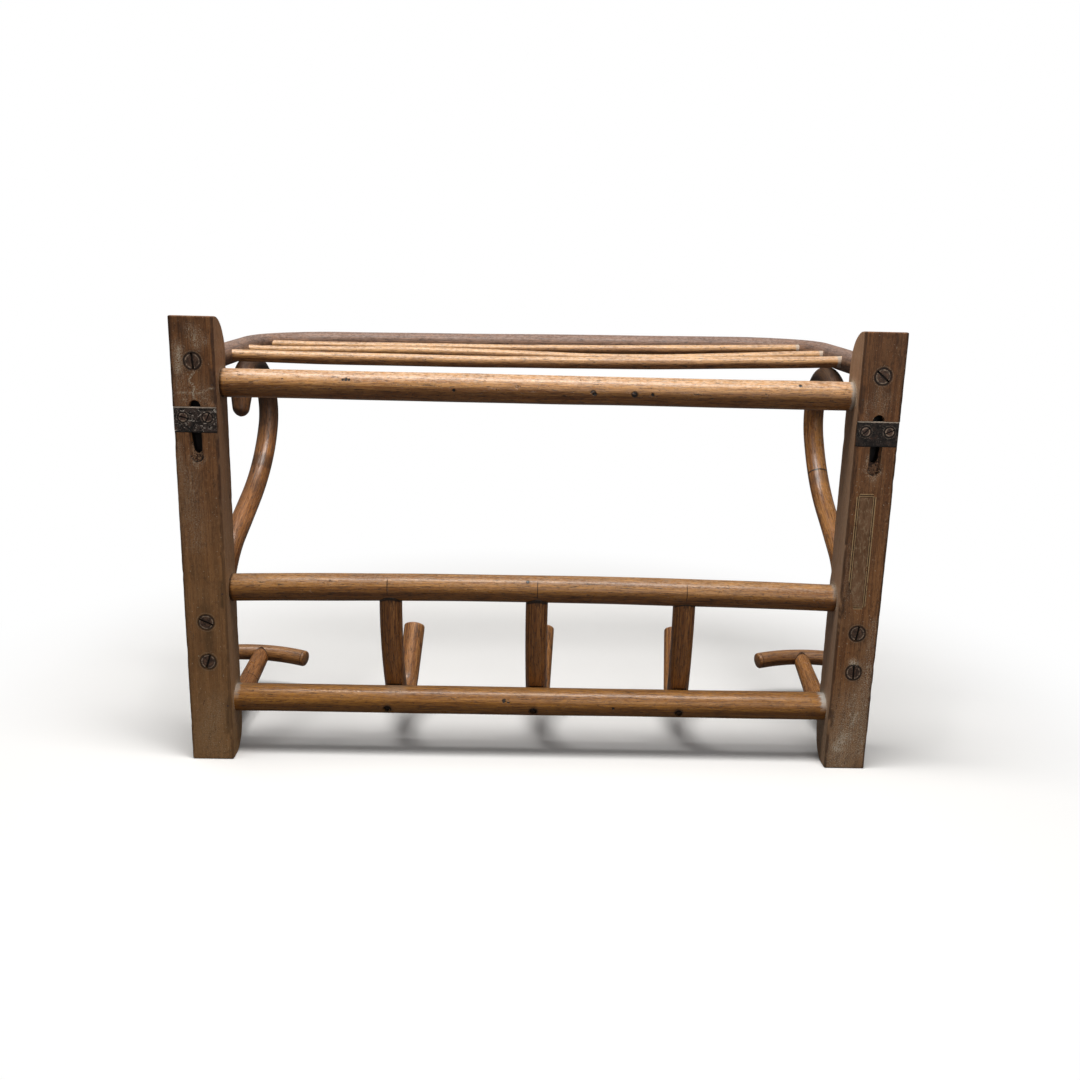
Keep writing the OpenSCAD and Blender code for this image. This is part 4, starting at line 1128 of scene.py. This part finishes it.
def head_iron(name, radius, across, levels, base, seed):
    """Slotted heads seen from the wall: dark towards the rim, with a painted highlight just inside
    it, broken in places, and painted shade in the slots.
    """
    m, here, _, cloud, grit = old_iron(name, seed, 260, 0.68, 900, 4, 0.7)
    gap = screw_gap(m, here, across, levels)
    m.base = m.mix(m.ramp(cloud, 0.4, 0.62), tuple(int(v * 0.55) for v in base), base)
    m.tint(cloud, 0.58, 0.7, 0.5, (128, 86, 58))
    m.tint(grit, 0.56, 0.68, 0.5, (178, 156, 136))
    # painted highlight near the rim of the head
    painted_rim_highlight = m.ramp(abs(gap - (radius - 1.1) / 1000), 0.0007, 0.0002)
    m.lay(painted_rim_highlight * m.ramp(cloud, 0.44, 0.56, 0.1, 0.75), (190, 168, 146))
    m.tint(gap, (radius - 0.6) / 1000, (radius - 0.05) / 1000, 0.6, (26, 17, 13))
    # painted shade inside the slots
    m.tint(m.xyz(here)[1], -0.00055, -0.0009, 0.85, (14, 9, 7))     # inside the slots
    return pitted(m, cloud, grit, (0.36, 0.62), 0.0003, 0.9, metal=0.2)


def worn(name, material, width):
    """Gives a CAD piece its material and a small bevel."""
    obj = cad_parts[name]
    obj.data.materials[0] = material
    bevel = obj.modifiers.new("worn", "BEVEL")
    bevel.width, bevel.segments, bevel.limit_method = width, 2, "ANGLE"


def moved_screws(node, shift):
    """A copy of a screw node whose screws follow the set of the old wood."""
    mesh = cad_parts[node].data.copy()
    for v in mesh.vertices:
        v.co += shift(v.co)
    add(link("iron_" + node, mesh), sunk_iron, node)


for name, flecks, seed in (("right_hanging_plate", 0.85, 2.0), ("left_hanging_plate", 0.2, 4.0)):
    worn(name, plate_iron(name, flecks, seed), 0.0003)
pin_iron = iron("screws", (96, 76, 64), (128, 88, 62), (176, 156, 138), 5.0, 0.42, 0.25)
sunk_iron = iron("sunk_screws", (40, 29, 23), (66, 44, 30), (96, 76, 60), 7.0, 0.5, 0.1)
large_iron = head_iron("large_screws", LARGE_HEAD, 0.0, (SHELF, *BRACKET_SCREWS),
                       (106, 78, 60), 5.0)
small_iron = head_iron("plate_screws", SMALL_HEAD, PLATE_SCREW_GAP, (PLATE_SCREW_H,),
                       (100, 74, 62), 6.0)
for name, material in (("loop_screws", large_iron), ("bracket_screws", large_iron),
                       ("plate_screws", small_iron), ("hook_screws", sunk_iron),
                       ("rail_pins", pin_iron)):
    worn(name, material, 0.00018)
moved_screws("curl_screws", lambda c: Vector((0.0035 if c.x < 0 else 0.0, 0, -TWIST * c.x)))
moved_screws("crossbar_screws", lambda c: bar_moved[1 if c.x > 0 else -1])


# ---- paper
def label():
    """Blank paper ticket with notched corners and a torn lower inner corner, let in flush."""
    cx, low, high, half, notch = LABEL_X, LABEL_LOW, LABEL_HIGH, LABEL_HALF, 3.2
    outline = []

    def arc(x, h, start, end):
        for i in range(7):
            a = radians(start + (end - start) * i / 6)
            outline.append((x + notch * cos(a), h + notch * sin(a)))

    # the inner side is +X on this post
    arc(cx - half, low, 90, 0)
    rng = np.random.default_rng(91)
    outline.append((cx + half * 0.25, low))
    for t in np.linspace(0, 1, 12):
        outline.append((cx + half * (0.25 + 0.72 * t) + rng.uniform(-0.3, 0.3),
                        low + 30 * t ** 0.8 + rng.uniform(-1.2, 1.2)))
    arc(cx + half, high, 270, 180)
    arc(cx - half, high, 0, -90)
    pts = [(x / 1000, z_at(h)) for x, h in outline]
    obj = solid("paper_label", lambda bm: prism(bm, pts, -0.00002, -0.00019))
    m = Mat("label_paper")
    here = m.pos()
    x, _, z = m.xyz(here)
    stain = m.noise(here, (70, 70, 26), 6, 0.7, 0.6)
    fibre = m.noise(here, (420, 420, 160), 5, 0.7, 0.8)
    flake = m.noise(here, (190, 190, 90), 6, 0.75, 1.1, (4.0, 2.0, 6.0))
    m.base = m.mix(m.ramp(stain, 0.35, 0.65), (140, 106, 78), (108, 76, 50))
    m.tint(fibre, 0.48, 0.7, 0.6, (182, 156, 124))
    dx = abs(x - cx / 1000)
    dz = abs(z - z_at((low + high) / 2))
    inset = m.math("MINIMUM", half / 1000 - dx, (high - low) / 2000 - dz)
    for place, width, tone, strength in (    # the printed frame, from the edge inwards
            (0.0004, 0.0006, (202, 168, 122), 0.8), (0.0016, 0.0007, (26, 17, 12), 0.95),
            (0.0024, 0.0006, (190, 156, 112), 0.7), (0.0033, 0.0004, (34, 22, 16), 0.8)):
        band = m.ramp(abs(inset - place), width, width * 0.4)
        m.lay(band * m.ramp(flake, 0.36, 0.46, 0, strength), tone)
    m.tint(flake, 0.58, 0.64, 0.9, (116, 72, 40))
    m.tint(flake, 0.34, 0.28, 0.8, (40, 26, 17))
    paper = m.finish(0.75, m.bump(fibre + flake, 0.0003, 0.7), 0.3)
    add(obj, paper, "paper_label")


label()

# ---- floor and world
foot = -HUNG / 1000 - 0.0003
mesh = bpy.data.meshes.new("floor")
mesh.from_pydata([(-9, -9, foot), (9, -9, foot), (9, 9, foot), (-9, 9, foot)], [], [(0, 1, 2, 3)])
floor = link("floor", mesh)
m = Mat("floor")
seen = m.value("Is Camera Ray", "LightPath")
m.base = m.mix(seen, (104, 104, 104), (250, 250, 250))
m.finish(0.9, None, 0.1)
away = m.ramp(m.vector("DISTANCE", m.pos(), (0.0, -0.12, foot)), 0.38, 0.78)
lit = m.value(0, "Emission", {0: (1, 1, 1, 1), 1: 1.0})
blend = m.node("MixShader", {0: away * seen, 1: Val(m, m.b.outputs[0]), 2: lit})
m.t.links.new(blend.outputs[0], m.out.inputs[0])
floor.data.materials.append(m.m)

world = bpy.data.worlds.new("world")
scene.world = world
world.use_nodes = True
nodes, links = world.node_tree.nodes, world.node_tree.links
nodes.clear()
mixer = nodes.new("ShaderNodeMixShader")
links.new(nodes.new("ShaderNodeLightPath").outputs["Is Camera Ray"], mixer.inputs[0])
for i, colour, strength in ((1, (1, 0.99, 0.97, 1), 0.15), (2, (1, 1, 1, 1), 1.0)):
    sky = nodes.new("ShaderNodeBackground")
    sky.inputs[0].default_value, sky.inputs[1].default_value = colour, strength
    links.new(sky.outputs[0], mixer.inputs[i])
links.new(mixer.outputs[0], nodes.new("ShaderNodeOutputWorld").inputs[0])


# ---- light and camera
def area(name, loc, target, size, power, colour):
    data = bpy.data.lights.new(name, "AREA")
    data.shape = "RECTANGLE"
    data.size, data.size_y = size
    data.energy = power
    data.color = colour
    lamp = link(name, data)
    lamp.location = loc
    lamp.rotation_euler = (Vector(target) - Vector(loc)).to_track_quat("-Z", "Y").to_euler()


area("key", (0.1, 0.18, 1.45), (0, -0.12, -0.1), (1.5, 0.5), 35, (1.0, 0.98, 0.95))
area("fill", (-0.5, 1.8, 0.6), (0, 0, -0.1), (1.2, 1.0), 6.5, (1.0, 0.99, 0.98))

# the camera that puts the posts, rails and shelf where the photograph has them
YAW, PITCH, ROLL = -0.0221, 0.2517, 0.0248
EYE = (0.01934, 1.05702, 0.51281 - HUNG / 1000)
FOCAL, PHOTO, SENSOR = 1103.25, 1080, 36     # pixels, pixels, mm
cam = link("camera", bpy.data.cameras.new("camera"))
cam.data.sensor_width, cam.data.sensor_fit = SENSOR, "HORIZONTAL"
cam.data.lens = SENSOR * FOCAL / PHOTO
cam.data.clip_start = 0.01
cam.matrix_world = (Matrix.Translation(EYE) @ Matrix.Rotation(pi + YAW, 4, "Z")
                    @ Matrix.Rotation(pi / 2 - PITCH, 4, "X") @ Matrix.Rotation(ROLL, 4, "Z"))
scene.camera = cam
scene.view_settings.view_transform = "Standard"
